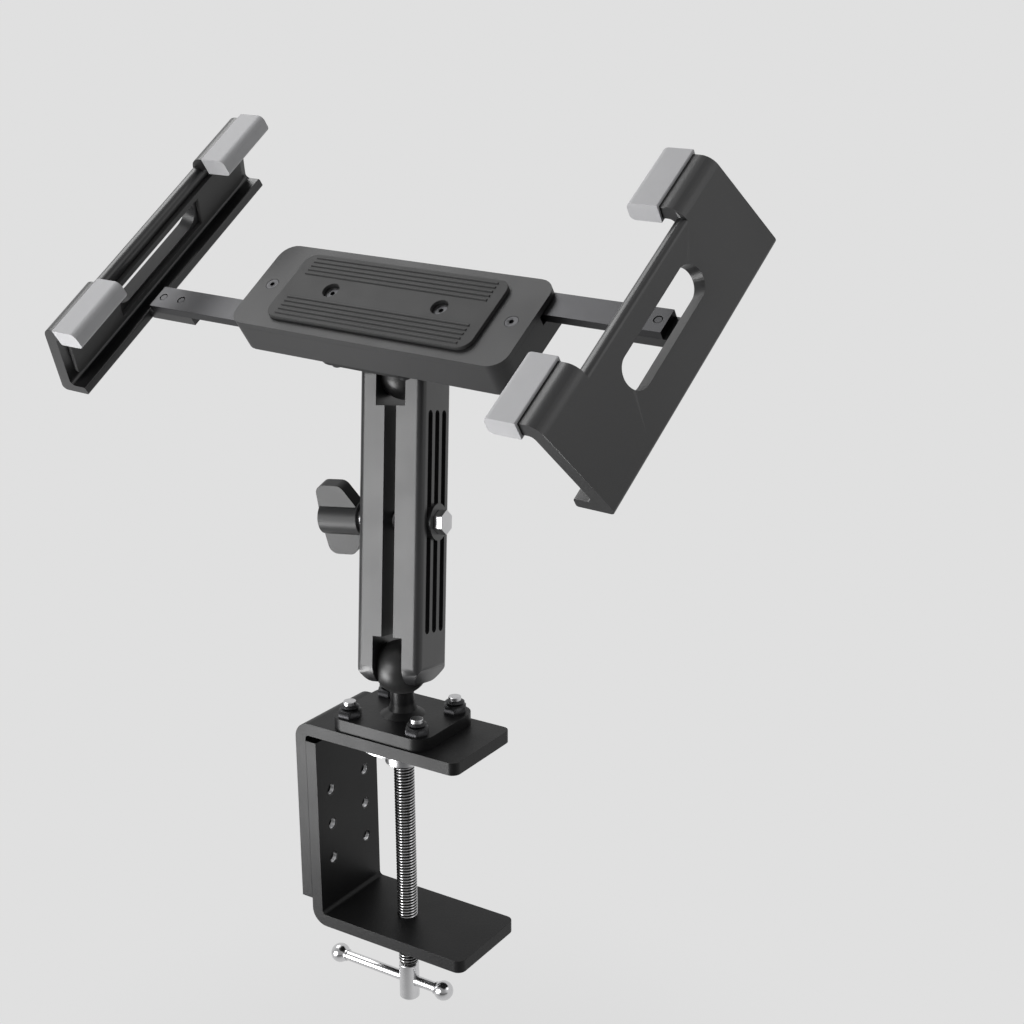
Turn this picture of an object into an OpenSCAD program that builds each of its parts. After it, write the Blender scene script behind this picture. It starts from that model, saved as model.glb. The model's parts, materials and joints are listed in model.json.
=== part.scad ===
// Tablet holder on a two-ball arm, with a screw clamp for a desk edge.
// The origin is where the clamp screw's axis meets the underside of the top plate. Z is up, the
// clamp opens towards +X, and the screen side of the holder looks towards -Y and upwards.

/* [Clamp brackets] */
// Width of both bent strips
strip_w = 46; // [44:1:60]
// Thickness of both strips
strip_t = 6; // [5:0.5:8]
// Outer radius of the bends
bend_r = 8; // [8:0.5:12]
// Height between the two plates
mouth_h = 92.5; // [84:0.5:110]
// Distance from the screw axis to the plates' free ends
nose_x = 45; // [36:1:60]
// Radius of the plates' free corners
nose_r = 4; // [1:0.5:8]
// Distance from the screw axis to the inner spine
throat_x = 34; // [28:1:50]
// How much longer the bottom plate is than the top plate
lower_lip = 1.5; // [0:0.5:4]
// Height of the outer spine's end above the bottom of the clamp
spine_rise = 13; // [10:0.5:20]
// Spacing of the spine holes along the spine
spine_pitch = 18; // [14:0.5:22]
// Spacing of the spine holes across the spine
spine_gauge = 26; // [18:1:32]
// Thread diameter of the spine screws
spine_screw_d = 5; // [4:0.5:6]

/* [Clamp screw] */
// Outer diameter of the clamp screw
screw_d = 10; // [9:0.5:12]
// Length of the clamp screw under the bottom plate
screw_below = 40; // [30:1:60]
// Diameter of the swivel pad
pad_d = 42; // [30:1:50]
// Thickness of the swivel pad's rim
pad_t = 2.2; // [1.8:0.1:4]
// Height of the swivel pad with its hub
pad_h = 11.5; // [10:0.5:16]
// Diameter of the swivel pad's hub
hub_d = 17.5; // [15:0.5:22]
// Diameter of the tommy bar
bar_d = 5; // [4:0.5:6]
// Distance between the centres of the tommy bar's end balls
bar_span = 63; // [50:1:90]
// How far the tommy bar has slid towards the spine
bar_shift = 11.2; // [0:0.1:12]
// Diameter of the tommy bar's end balls
bar_ball_d = 9.5; // [8:0.5:12]
// Height of the tommy bar above the screw's lower end
bar_up = 10; // [8:0.5:14]

/* [Ball joints] */
// Diameter over the rubber of both balls
ball_d = 25.4; // [24:0.1:28]
// Thickness of the rubber on the balls
cover_t = 1.4; // [1:0.1:2]
// Height of the ball centre above its seat
ball_h = 29; // [28:0.5:34]
// Diameter of the ball's neck
neck_d = 11; // [9:0.5:12]
// Length of the base flange
flange_x = 54; // [52:1:60]
// Width of the base flange
flange_y = 44; // [43:1:46]
// Thickness of the base flange
flange_t = 6; // [4:0.5:8]
// Hole spacing along the base flange
bolt_x = 38.05; // [36:0.05:40]
// Hole spacing across the base flange
bolt_y = 30.17; // [29:0.01:31]
// Thread diameter of the lower base's bolts
base_bolt_d = 6; // [5:0.5:6]
// Thread diameter of the upper base's screws
base_screw_d = 5; // [4:0.5:5]

/* [Arm] */
// Distance between the two ball centres
arm_len = 135; // [120:1:150]
// Width of each arm half
arm_w = 28; // [26:1:32]
// Size over both arm halves along the bolt
arm_over = 33; // [32:0.5:38]
// Gap between the arm halves
arm_gap = 6; // [5:0.5:8]
// Gap between the sockets, through which the necks swing
socket_gap = 15; // [14:0.5:16]
// How far the arm halves reach past the ball centres
arm_tip = 7; // [6:0.5:8]
// Width of each long groove in the ribbed half
groove_w = 4; // [3:0.5:5]
// Distance of the long grooves' ends from the ball centres
groove_in = 17; // [16:1:24]
// Depth of the long grooves
groove_t = 2; // [1:0.25:2.5]
// Thread diameter of the arm bolt
arm_bolt_d = 6; // [5:0.5:8]
// Height of the round boss under the bolt head and under the washer
boss_t = 1.6; // [1:0.2:3]

/* [Wing knob] */
// Size over the knob's two wings
knob_span = 36; // [32:1:50]
// Length of the knob along the bolt
knob_len = 21.5; // [16:0.5:26]
// Diameter of the knob's hub
knob_hub_d = 16; // [14:0.5:20]
// Thickness of the wings
wing_t = 7; // [5:0.5:9]
// Turn of the wings about the bolt, away from the arm's direction
wing_turn = -25; // [-90:5:90]
// Height of the wings' lower corners above the knob's foot
wing_up = 7; // [4:0.5:9]

/* [Housing] */
// Length of the slide housing
house_x = 150; // [146:1:160]
// Wall of the slide housing
house_wall = 3; // [2.5:0.25:4]
// Thickness of the housing's floor
floor_t = 2.5; // [2:0.25:4]
// Depth of the space behind the slide bars, for the springs
spring_room = 7; // [6.8:0.1:9]
// Thickness of the front cover
lid_t = 3; // [2.5:0.25:5]
// Length of the rubber grip pad
grip_x = 112; // [60:1:116]
// How far the ball base sits to the left of the housing's middle
base_shift = 10; // [0:0.5:14]
// Width of the rubber grip pad
grip_z = 40; // [20:1:44]
// Thickness of the rubber grip pad
grip_t = 2; // [1:0.25:3]

/* [Slide bars] */
// Thickness of the slide bars
slide_t = 4; // [3:0.25:5]
// Distance from the middle to the outer edge of a slide bar
slide_edge = 22; // [20:0.5:24]
// How far each jaw can move outwards
slide_out = 30; // [20:1:32]
// How far each jaw can move inwards
slide_in = 25; // [15:1:25]
// Module of the rack and pinion
tooth_m = 1; // [0.9:0.05:1.1]
// Mean radius of the pull springs
coil_r = 2.3; // [2:0.1:2.5]
// Wire diameter of the pull springs
coil_wire = 0.8; // [0.6:0.1:1]

/* [Jaws] */
// Width over both jaws' front corners in the pose shown
open_w = 262; // [250:1:280]
// Height of each jaw along the tablet's edge
jaw_h = 146; // [120:1:160]
// Depth of each jaw from front to back
jaw_depth = 43; // [38:1:50]
// How far each jaw wall slants outwards over its depth
jaw_flare = 20; // [0:1:24]
// Thickness of the jaw walls
wall_t = 6; // [5:0.5:8]
// Width of each hook
hook_w = 31; // [24:1:40]
// How far the hooks reach inwards
hook_reach = 21; // [18:1:28]
// Thickness of the hooks
hook_t = 6; // [4:0.5:8]
// Outer radius where a hook turns into the wall
hook_r = 8; // [6.5:0.5:10]
// How far the wall is cut back between the hooks
wall_cut = 5; // [2:0.5:8]
// How far the jaw's back lip reaches inwards
lip_reach = 18; // [14:1:24]
// Thickness of the back lip
lip_t = 4.5; // [3:0.5:6]
// Length of the tongue that lies on the slide bar
tongue_l = 26; // [22:1:28]
// Length of the slot in each jaw wall
slot_l = 62; // [40:1:80]
// Width of the slot in each jaw wall
slot_w = 15; // [10:1:18]
// Thickness of the rubber on the hook tips
tip_t = 1.4; // [1:0.1:2]
// Length of the rubber on the hook tips
tip_l = 13; // [6:0.5:13]
// Thickness of the rubber strip inside each wall
strip_pad_t = 2; // [1:0.25:3]

/* [Pose] */
// Turn of the arm about the lower ball's neck
arm_turn = 7; // [-40:1:40]
// Lean of the arm away from the user
arm_lean = 12; // [-30:0.1:30]
// Tilt of the arm sideways, out of its lower neck's plane
arm_tilt = -4.2; // [-4.5:0.1:4.5]
// Tilt of the holder back from upright
holder_tilt = 53.4; // [30:0.1:70]
// Small roll of the holder
holder_roll = 2.4; // [-10:0.1:10]
// Small turn of the holder
holder_turn = -2.4; // [-10:0.1:10]

/* [Fits] */
// Radial play of a shaft in its bore
run_fit = 0.05; // [0.02:0.01:0.1]
// Radial play at the ball sockets and under the ball covers
ball_fit = 0.1; // [0.05:0.01:0.15]
// Play beside and behind sliding parts
slide_fit = 0.3; // [0.2:0.05:0.4]

/* [Hidden] */
$fn = 96;
eps = 0.01;
clamp_low = -mouth_h - strip_t;
screw_low = clamp_low - screw_below;
bar_z = screw_low + bar_up;
spine_mid = -(mouth_h + spine_rise / 3) / 2;
pad_top = -0.5;
pad_sink = pad_t + 0.4;
pad_rest = pad_top - pad_h + 3;
spigot_r = screw_d / 2 - 1.8;
ring_r = spigot_r + 2.2;
core_r = ball_d / 2 - cover_t - ball_fit;
socket_r = ball_d / 2 + ball_fit;
collar_r = neck_d / 2 + 1.5;
lower_ball = [0, 0, strip_t + ball_h];
arm_side = sin(arm_tilt);
arm_back = sin(arm_lean) * cos(arm_tilt);
arm_dir = [arm_side * cos(arm_turn) - arm_back * sin(arm_turn),
  arm_side * sin(arm_turn) + arm_back * cos(arm_turn), cos(arm_lean) * cos(arm_tilt)];
upper_ball = lower_ball + arm_len * arm_dir;
half_out = arm_over / 2;
mid_z = arm_len / 2;
coil_pocket = 4;
arm_coil_r = arm_bolt_d / 2 + 1.5;
arm_coil_wire = 1.1;
seat_y = -ball_h;
slide_y = seat_y - floor_t - spring_room;
lid_y = slide_y - slide_t - slide_fit;
jaw_back_y = slide_y + lip_t;
jaw_front_y = jaw_back_y - jaw_depth;
jaw_u = open_w / 2;
pinion_teeth = 16;
pitch_r = tooth_m * pinion_teeth / 2;
addendum = 0.8 * tooth_m;
dedendum = 1.05 * tooth_m;
backlash = 0.1;
rack_z = pitch_r + backlash;
rack_root = rack_z + dedendum;
rack_end = 36;
bar_in = rack_end + 2;
axle_d = 5;
house_half_z = slide_edge + slide_fit + house_wall;
ledge_w = 4;
spring_z = rack_root - 1.6;
spring_y = seat_y - floor_t - spring_room / 2 + 0.1;
peg_r = 1.5;
peg_x = rack_end + 1;
post_x = house_x / 2 - house_wall - 2;
boss_r = 3.5;
lid_screw_d = 3;
lid_screw_x = [30, post_x - 4];
jaw_screw_d = 4;
jaw_screw_x = [jaw_u - 0.65 * tongue_l, jaw_u - 0.2 * tongue_l];
bar_mid_z = (rack_root + slide_edge) / 2;
tongue_x = jaw_u - tongue_l;
slant = atan(jaw_flare / jaw_depth);
wall_in = wall_t / cos(slant);

steel_black = [0.16, 0.16, 0.17];
steel_plated = [0.78, 0.79, 0.8];
alloy_grey = [0.3, 0.3, 0.31];
rubber_black = [0.1, 0.1, 0.1];
rubber_grey = [0.55, 0.55, 0.56];
plastic_dark = [0.22, 0.22, 0.23];

// Vectors and rounded outlines

function unit(v) = v / norm(v);
function short_way(a) = a > 180 ? a - 360 : a < -180 ? a + 360 : a;

// One corner of an outline, its two sides joined by an arc of radius r
function corner(a, b, c, r, n = 6) =
  r <= 0 ? [b] :
  let (
    u = unit(a - b),
    v = unit(c - b),
    half = acos(u * v) / 2,
    mid = b + unit(u + v) * r / sin(half),
    p = b + u * r / tan(half) - mid,
    q = b + v * r / tan(half) - mid,
    start = atan2(p.y, p.x),
    sweep = short_way(atan2(q.y, q.x) - start)
  )
  [for (i = [0:n]) mid + r * [cos(start + sweep * i / n), sin(start + sweep * i / n)]];

function rounded(path, radii) =
  let (k = len(path))
  [for (i = [0:k - 1]) each corner(path[(i + k - 1) % k], path[i], path[(i + 1) % k], radii[i])];

function box_path(x, y) = [[-x, -y], [x, -y], [x, y], [-x, y]] / 2;

module rounded_box(x, y, z, r) {
  linear_extrude(z) polygon(rounded(box_path(x, y), [r, r, r, r]));
}

module slot_cut(l, w, depth) {
  cube([w, l - w, depth], center = true);
  for (side = [-1, 1]) translate([0, side * (l - w) / 2, 0]) cylinder(h = depth, d = w, center = true);
}

module at_bolts(z = 0) {
  for (x = [-1, 1], y = [-1, 1]) translate([x * bolt_x / 2, y * bolt_y / 2, z]) children();
}

// Wire coils, each one tube swept along a path

function tube_points(path, r, sides) = [
  for (i = [0:len(path) - 1])
    let (
      along = unit(path[min(i + 1, len(path) - 1)] - path[max(i - 1, 0)]),
      side = unit(cross(along, [1, 0, 0])),
      up = cross(side, along)
    )
    for (k = [0:sides - 1]) path[i] + r * (cos(360 * k / sides) * side + sin(360 * k / sides) * up)
];

module wire(path, r, sides = 6) {
  rings = len(path);
  walls = [for (i = [0:rings - 2], k = [0:sides - 1])
    let (a = i * sides + k, b = i * sides + (k + 1) % sides)
    each [[a, a + sides, b + sides], [a, b + sides, b]]];
  caps = [for (k = [1:sides - 2]) each [[0, k, k + 1],
    [(rings - 1) * sides, (rings - 1) * sides + k + 1, (rings - 1) * sides + k]]];
  polyhedron(points = tube_points(path, r, sides), faces = concat(walls, caps));
}

// A helix along X, with a straight tail one wire thick at each end, square to the axis
function coil_path(l, r, turns, tail) =
  let (steps = turns * 8)
  concat(
    [[0, r, -tail]],
    [for (i = [0:steps]) [l * i / steps, r * cos(45 * i), r * sin(45 * i)]],
    [[l, r, tail]]
  );

function least_gap(path, r) =
  min([for (i = [0:len(path) - 5]) for (j = [i + 4:min(i + 16, len(path) - 1)])
    norm(path[i] - path[j])]) - 2 * r;

module coil(l, r, wire_d, turns) {
  path = coil_path(l, r, turns, wire_d);
  echo(least_gap_mm = least_gap(path, wire_d / 2));
  wire(path, wire_d / 2);
}

// Desk clamp

// A bent strip's side view: its outer corner at the origin, one leg along X and one along Y
module bent_strip(run, rise) {
  difference() {
    union() {
      translate([bend_r, 0]) square([run - bend_r, strip_t]);
      translate([0, bend_r]) square([strip_t, rise - bend_r]);
      intersection() {
        translate([bend_r, bend_r]) circle(bend_r);
        square(bend_r);
      }
    }
    translate([bend_r, bend_r]) circle(bend_r - strip_t);
  }
}

// Plan of a strip, with the two free corners of its plate rounded
module strip_plan(reach) {
  far = -throat_x - 3 * strip_t;
  linear_extrude(3 * mouth_h, center = true) polygon(rounded(
    [[far, -strip_w / 2], [reach, -strip_w / 2], [reach, strip_w / 2], [far, strip_w / 2]],
    [0, nose_r, nose_r, 0]));
}

module at_spine_holes(rows) {
  for (row = rows, side = [-1, 1])
    translate([-throat_x, side * spine_gauge / 2, spine_mid + row * spine_pitch])
      rotate([0, -90, 0]) children();
}

module upper_bracket() {
  outer_x = -throat_x - 2 * strip_t;
  color(steel_black) difference() {
    intersection() {
      translate([outer_x, 0, strip_t]) rotate([90, 0, 0]) mirror([0, 1, 0])
        linear_extrude(strip_w, center = true)
          bent_strip(nose_x - outer_x, strip_t - clamp_low - spine_rise);
      strip_plan(nose_x);
    }
    at_bolts(-eps) cylinder(h = strip_t + 1, d = base_bolt_d + 2 * run_fit);
    at_bolts(-eps) cylinder(h = base_bolt_d / 2 + 0.2, d1 = 2 * base_bolt_d + 0.8, d2 = base_bolt_d);
    at_spine_holes([-1, 0, 1])
      translate([0, 0, strip_t - 1]) cylinder(h = strip_t + 2, d = spine_screw_d + 2 * run_fit);
  }
}

module lower_bracket() {
  color(steel_black) difference() {
    intersection() {
      translate([-throat_x - strip_t, 0, clamp_low]) rotate([90, 0, 0])
        linear_extrude(strip_w, center = true)
          bent_strip(nose_x + lower_lip + throat_x + strip_t, -clamp_low - bend_r + strip_t - 1);
      strip_plan(nose_x + lower_lip);
    }
    translate([0, 0, clamp_low - 1]) cylinder(h = strip_t + 2, d = screw_d + 2 * run_fit);
    at_spine_holes([-1, 0, 1])
      translate([0, 0, -1]) cylinder(h = strip_t + 2, d = spine_screw_d + 2 * run_fit);
  }
}

// Button-head screws from the outside, their ends sunk in the inner spine's holes
module spine_screws() {
  head_t = spine_screw_d * 0.55;
  sunk = strip_t / 3;
  color(steel_black) at_spine_holes([-1, 1]) {
    translate([0, 0, sunk]) cylinder(h = 2 * strip_t - sunk + eps, d = spine_screw_d);
    translate([0, 0, 2 * strip_t]) difference() {
      intersection() {
        cylinder(h = head_t, d = 1.9 * spine_screw_d);
        translate([0, 0, head_t - 1.2 * spine_screw_d]) sphere(r = 1.2 * spine_screw_d);
      }
      translate([0, 0, head_t - 1.6]) cylinder(h = 2, d = 0.66 * spine_screw_d, $fn = 6);
    }
  }
}

module clamp_screw() {
  color(steel_plated) difference() {
    union() {
      translate([0, 0, screw_low + 1]) cylinder(h = pad_rest - screw_low - 1, d = screw_d);
      translate([0, 0, screw_low]) cylinder(h = 1, d1 = screw_d - 2, d2 = screw_d);
      translate([0, 0, pad_rest - eps]) cylinder(h = pad_top - 0.6 - pad_rest, r = spigot_r);
    }
    translate([0, 0, bar_z]) rotate([0, 90, 0])
      cylinder(h = 2 * screw_d, d = bar_d + 2 * run_fit, center = true);
  }
}

// Dished pad: flat rim on top, a cone below it and a hub round the screw's end
module swivel_pad() {
  rim = pad_d / 2;
  hub = hub_d / 2;
  bore = spigot_r + run_fit;
  sink = ring_r + 0.6;
  low = pad_top - pad_h;
  socket = screw_d / 2 + 0.4;
  color(steel_plated) rotate_extrude() polygon([
    [bore, pad_rest + 0.1], [socket, pad_rest + 0.1], [socket, low], [hub, low],
    [hub, pad_top - pad_t - 2.4],
    [rim - 1, pad_top - pad_t], [rim, pad_top - pad_t + 0.6], [rim, pad_top - 0.6], [rim - 0.6, pad_top],
    [sink, pad_top], [sink, pad_top - pad_sink], [bore, pad_top - pad_sink]]);
}

module pad_ring() {
  color(steel_plated) translate([0, 0, pad_top - pad_sink + 0.1]) difference() {
    cylinder(h = 1.2, r = ring_r);
    translate([0, 0, -1]) cylinder(h = 4, r = spigot_r + eps);
  }
}

module tommy_bar() {
  color(steel_plated) translate([-bar_shift, 0, bar_z]) rotate([0, 90, 0])
    cylinder(h = bar_span, d = bar_d, center = true);
}

module bar_ends() {
  color(steel_plated) for (side = [-1, 1])
    translate([side * bar_span / 2 - bar_shift, 0, bar_z]) difference() {
      sphere(d = bar_ball_d);
      rotate([0, -side * 90, 0]) cylinder(h = bar_ball_d, d = bar_d + 2 * eps);
    }
}

// Ball joints. A base stands on z = 0 with its ball centre at ball_h.

module ball_base() {
  difference() {
    union() {
      rounded_box(flange_x, flange_y, flange_t, 8);
      rotate_extrude() polygon([[0, flange_t - eps], [neck_d / 2 + 5, flange_t - eps],
        [neck_d / 2 + 1.2, flange_t + 2.4], [neck_d / 2, flange_t + 6], [neck_d / 2, ball_h], [0, ball_h]]);
      translate([0, 0, ball_h]) sphere(r = core_r);
    }
    at_bolts(-1) cylinder(h = flange_t + 2, d = base_bolt_d + 2 * run_fit);
  }
}

module ball_cover() {
  difference() {
    sphere(d = ball_d);
    sphere(r = core_r + ball_fit);
    translate([0, 0, -ball_d]) cylinder(h = ball_d, r = collar_r);
  }
}

module lower_ball_base() {
  color(steel_black) translate([0, 0, strip_t]) ball_base();
}

module lower_ball_cover() {
  color(rubber_black) translate(lower_ball) ball_cover();
}

// Countersunk from below, so that the plate's underside stays flat
module base_bolts() {
  sink = base_bolt_d / 2;
  color(steel_plated) at_bolts(0.1) {
    cylinder(h = sink, d1 = 2 * base_bolt_d, d2 = base_bolt_d);
    cylinder(h = strip_t + flange_t + 1.2 * base_bolt_d, d = base_bolt_d);
  }
}

module base_nuts() {
  across = 1.667 * base_bolt_d / cos(30);
  color(steel_black) at_bolts(strip_t + flange_t) difference() {
    union() {
      cylinder(h = 0.8 * base_bolt_d, d = across, $fn = 6);
      translate([0, 0, 0.8 * base_bolt_d - eps]) cylinder(h = 0.25 * base_bolt_d, d = 1.5 * base_bolt_d);
    }
    translate([0, 0, -1]) cylinder(h = 3 * base_bolt_d, d = base_bolt_d + 2 * eps);
  }
}

// Arm. Its own frame has the lower ball at the origin, Z along the arm and X along the bolt.

module on_arm() {
  translate(lower_ball) rotate([0, 0, arm_turn]) rotate([-arm_lean, 0, 0])
    rotate([0, arm_tilt, 0]) children();
}

// One half, on the +X side, with sockets for both balls and a slot for their necks
module arm_half(bore) {
  inner = arm_gap / 2;
  relief = socket_gap / 2;
  length = arm_len + 2 * arm_tip;
  bevel = [half_out - 11.5, 8];
  difference() {
    intersection() {
      translate([0, 0, mid_z]) rotate([90, 0, 90]) linear_extrude(half_out)
        polygon(rounded(box_path(arm_w, length), [9, 9, 9, 9]));
      rotate([90, 0, 0]) linear_extrude(2 * arm_w, center = true) polygon(rounded(
        [[inner, -arm_tip], [half_out - bevel.x, -arm_tip], [half_out, bevel.y - arm_tip],
         [half_out, arm_len + arm_tip - bevel.y], [half_out - bevel.x, arm_len + arm_tip],
         [inner, arm_len + arm_tip]],
        [0, 2, 4, 4, 2, 0]));
      linear_extrude(2 * length, center = true) polygon(rounded(
        [[0, -arm_w / 2], [half_out, -arm_w / 2], [half_out, arm_w / 2], [0, arm_w / 2]], [0, 3.5, 3.5, 0]));
    }
    for (z = [0, arm_len]) translate([0, 0, z]) {
      rotate([0, 90, 0]) rotate([0, 0, 45]) sphere(r = socket_r);
      cube([2 * relief, 2 * arm_w, 2 * socket_r + 5], center = true);
    }
    translate([0, 0, mid_z]) rotate([0, 90, 0]) {
      cylinder(h = 3 * half_out, d = bore, center = true);
      cylinder(h = inner + coil_pocket, r = arm_coil_r + arm_coil_wire / 2 + slide_fit);
    }
  }
}

module arm_boss(bore) {
  translate([half_out - groove_t - eps, 0, mid_z]) rotate([0, 90, 0]) difference() {
    cylinder(h = groove_t + boss_t, d = 17);
    translate([0, 0, -1]) cylinder(h = groove_t + boss_t + 2, d = bore);
  }
}

module ribbed_arm_half() {
  bore = arm_bolt_d + 2 * run_fit;
  groove_l = arm_len - 2 * groove_in;
  color(alloy_grey) on_arm() {
    difference() {
      arm_half(bore);
      for (row = [-1, 0, 1]) translate([half_out, row * (groove_w + 2.6), mid_z]) rotate([90, 0, 90])
        slot_cut(groove_l, groove_w, 2 * groove_t);
    }
    arm_boss(bore);
  }
}

module plain_arm_half() {
  bore = arm_bolt_d + 4 * run_fit;
  color(alloy_grey) on_arm() mirror([1, 0, 0]) {
    arm_half(bore);
    arm_boss(bore);
  }
}

module arm_bolt() {
  head_t = 0.7 * arm_bolt_d;
  color(steel_plated) on_arm() translate([half_out + boss_t, 0, mid_z]) rotate([0, -90, 0]) {
    cylinder(h = 2 * (half_out + boss_t) + knob_len - 5, d = arm_bolt_d);
    translate([0, 0, -head_t]) cylinder(h = head_t, d = 1.667 * arm_bolt_d / cos(30), $fn = 6);
  }
}

module arm_spring() {
  l = arm_gap + 2 * coil_pocket - 0.4;
  color(steel_plated) on_arm() translate([-l / 2 + arm_coil_wire / 2, 0, mid_z])
    coil(l - arm_coil_wire, arm_coil_r, arm_coil_wire, 5);
}

module on_bolt() {
  on_arm() translate([-half_out - boss_t, 0, mid_z]) rotate([0, -90, 0]) children();
}

washer_t = 1.6;

module knob_washer() {
  color(steel_plated) on_bolt() difference() {
    cylinder(h = washer_t, d = 2 * arm_bolt_d + 1);
    translate([0, 0, -1]) cylinder(h = washer_t + 2, d = arm_bolt_d + 4 * run_fit);
  }
}

// Threaded metal insert, flanged where it bears on the washer
module knob_insert() {
  color(steel_plated) on_bolt() translate([0, 0, washer_t + 0.1]) difference() {
    union() {
      cylinder(h = 1.2, d = 2 * arm_bolt_d);
      cylinder(h = knob_len - 6, d = 1.6 * arm_bolt_d);
    }
    translate([0, 0, -1]) cylinder(h = knob_len, d = arm_bolt_d + 2 * run_fit);
  }
}

module wing_knob() {
  foot = 1.2;
  low = washer_t + 0.1 + foot;
  tip_r = 4.5;
  color(plastic_dark) on_bolt() difference() {
    union() {
      translate([0, 0, low]) cylinder(h = knob_len - foot, d = knob_hub_d);
      rotate([90, 0, wing_turn]) linear_extrude(wing_t, center = true) polygon(rounded(
        [[-knob_hub_d / 2, low + 1], [knob_hub_d / 2, low + 1], [knob_span / 2, low + wing_up],
         [knob_span / 2, low + knob_len - foot], [0, low + knob_len - foot + 1],
         [-knob_span / 2, low + knob_len - foot],
         [-knob_span / 2, low + wing_up]], [1, 1, tip_r, tip_r, knob_len, tip_r, tip_r]));
    }
    cylinder(h = knob_len - 5 + washer_t, d = 1.6 * arm_bolt_d + 2 * eps);
  }
}

// Holder. Its own frame has X along the slides and -Y towards the screen. The pinion turns about its
// Y axis, and the upper ball's centre lies on its X axis.

module on_holder() {
  translate(upper_ball) rotate([-holder_tilt, holder_roll, holder_turn])
    translate([base_shift, 0, 0]) children();
}

module on_upper_ball() {
  on_holder() translate([-base_shift, 0, 0]) rotate([-90, 0, 0]) children();
}

// Lays a shape drawn in X and Z so that it runs from y to y - depth
module slab(y, depth) {
  translate([0, y, 0]) rotate([90, 0, 0]) linear_extrude(depth) children();
}

module pin(x, z, y, depth, d) {
  translate([x, y, z]) rotate([90, 0, 0]) cylinder(h = depth, d = d);
}

module upper_ball_cover() {
  color(rubber_black) on_upper_ball() ball_cover();
}

module upper_ball_base() {
  color(steel_black) on_upper_ball() translate([0, 0, -ball_h]) ball_base();
}

module upper_base_screws() {
  color(steel_black) on_upper_ball() at_bolts(-ball_h) {
    translate([0, 0, -floor_t - spring_room + 1.5])
      cylinder(h = floor_t + spring_room + flange_t, d = base_screw_d);
    translate([0, 0, flange_t]) difference() {
      cylinder(h = base_screw_d, d = 1.7 * base_screw_d);
      translate([0, 0, base_screw_d / 2]) cylinder(h = base_screw_d, d = 0.9 * base_screw_d, $fn = 6);
    }
  }
}

module house_outline(inset) {
  r = 8 - inset / 2;
  polygon(rounded(box_path(house_x - 2 * inset, 2 * (house_half_z - inset)), [r, r, r, r]));
}

module at_lid_screws() {
  for (x = lid_screw_x, side = [-1, 1]) translate([side * x, 0, 0]) children();
}

module rear_housing() {
  floor_y = seat_y - floor_t;
  ledge_y = slide_y + slide_fit;
  bar_low = rack_z - addendum - slide_fit;
  color(plastic_dark) on_holder() difference() {
    union() {
      difference() {
        slab(seat_y, seat_y - lid_y) house_outline(0);
        slab(floor_y, floor_t + spring_room + slide_t + 5) house_outline(house_wall);
      }
      for (side = [-1, 1]) slab(floor_y + eps, floor_y - ledge_y + eps)
        translate([0, side * (house_half_z - house_wall - ledge_w / 2)])
          square([house_x - 2 * house_wall, ledge_w], center = true);
      translate([-base_shift, floor_y + eps, 0]) rotate([90, 0, 0]) at_bolts()
        cylinder(h = spring_room - 0.5, d = base_screw_d + 3);
      pin(0, 0, floor_y + eps, floor_y - ledge_y, axle_d + 3);
      at_lid_screws() pin(0, 0, floor_y + eps, floor_y - lid_y, 2 * boss_r);
      for (side = [-1, 1]) pin(-side * post_x, side * spring_z, floor_y + eps, spring_room - 0.5, 2 * peg_r);
    }
    translate([-base_shift, seat_y + 1, 0]) rotate([90, 0, 0]) at_bolts()
      cylinder(h = floor_t + spring_room + 1, d = base_screw_d + 2 * eps);
    pin(0, 0, floor_y + 1, spring_room + 2, axle_d + 2 * eps);
    at_lid_screws() pin(0, 0, floor_y - 2, 20, lid_screw_d + 2 * eps);
    for (turn = [0, 180]) rotate([0, turn, 0]) translate([house_x / 2 - house_wall - 8, lid_y - 1, bar_low])
      cube([house_wall + 9, ledge_y - lid_y + 1, slide_edge + slide_fit - bar_low]);
  }
}

module front_cover() {
  color(plastic_dark) on_holder() difference() {
    slab(lid_y, lid_t) house_outline(0);
    pin(0, 0, lid_y + 1, 2.8, axle_d + 2 * eps);
    at_lid_screws() {
      pin(0, 0, lid_y + 1, lid_t + 2, lid_screw_d + 2 * eps);
      translate([0, lid_y - lid_t - eps, 0]) rotate([-90, 0, 0])
        cylinder(h = lid_screw_d / 2 + 0.2, d1 = 2 * lid_screw_d + 0.4, d2 = lid_screw_d);
    }
  }
}

module cover_screws() {
  color(steel_black) on_holder() at_lid_screws()
    translate([0, lid_y - lid_t + 0.1, 0]) rotate([-90, 0, 0]) {
      cylinder(h = lid_screw_d / 2, d1 = 2 * lid_screw_d, d2 = lid_screw_d);
      cylinder(h = lid_t + slide_t + 2, d = lid_screw_d);
    }
}

// Flat rubber pad on the cover, open over the two inner screws
module grip_pad() {
  color(rubber_black) on_holder() difference() {
    slab(lid_y - lid_t, grip_t) polygon(rounded(box_path(grip_x, grip_z), [6, 6, 6, 6]));
    for (side = [-1, 1]) pin(side * lid_screw_x[0], 0, lid_y - lid_t + 1, grip_t + 2, 2 * lid_screw_d + 2);
  }
}

module pinion_axle() {
  color(steel_plated) on_holder()
    pin(0, 0, seat_y - floor_t, spring_room + slide_t + slide_fit + 1.7, axle_d);
}

// Rack and pinion, both with 20 degree flanks

base_r = pitch_r * cos(20);

function involute(r) =
  let (a = acos(min(1, base_r / r)))
  tan(a) * 180 / PI - a;

function tooth_half(r) = 90 / pinion_teeth + involute(pitch_r) - involute(r);

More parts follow.
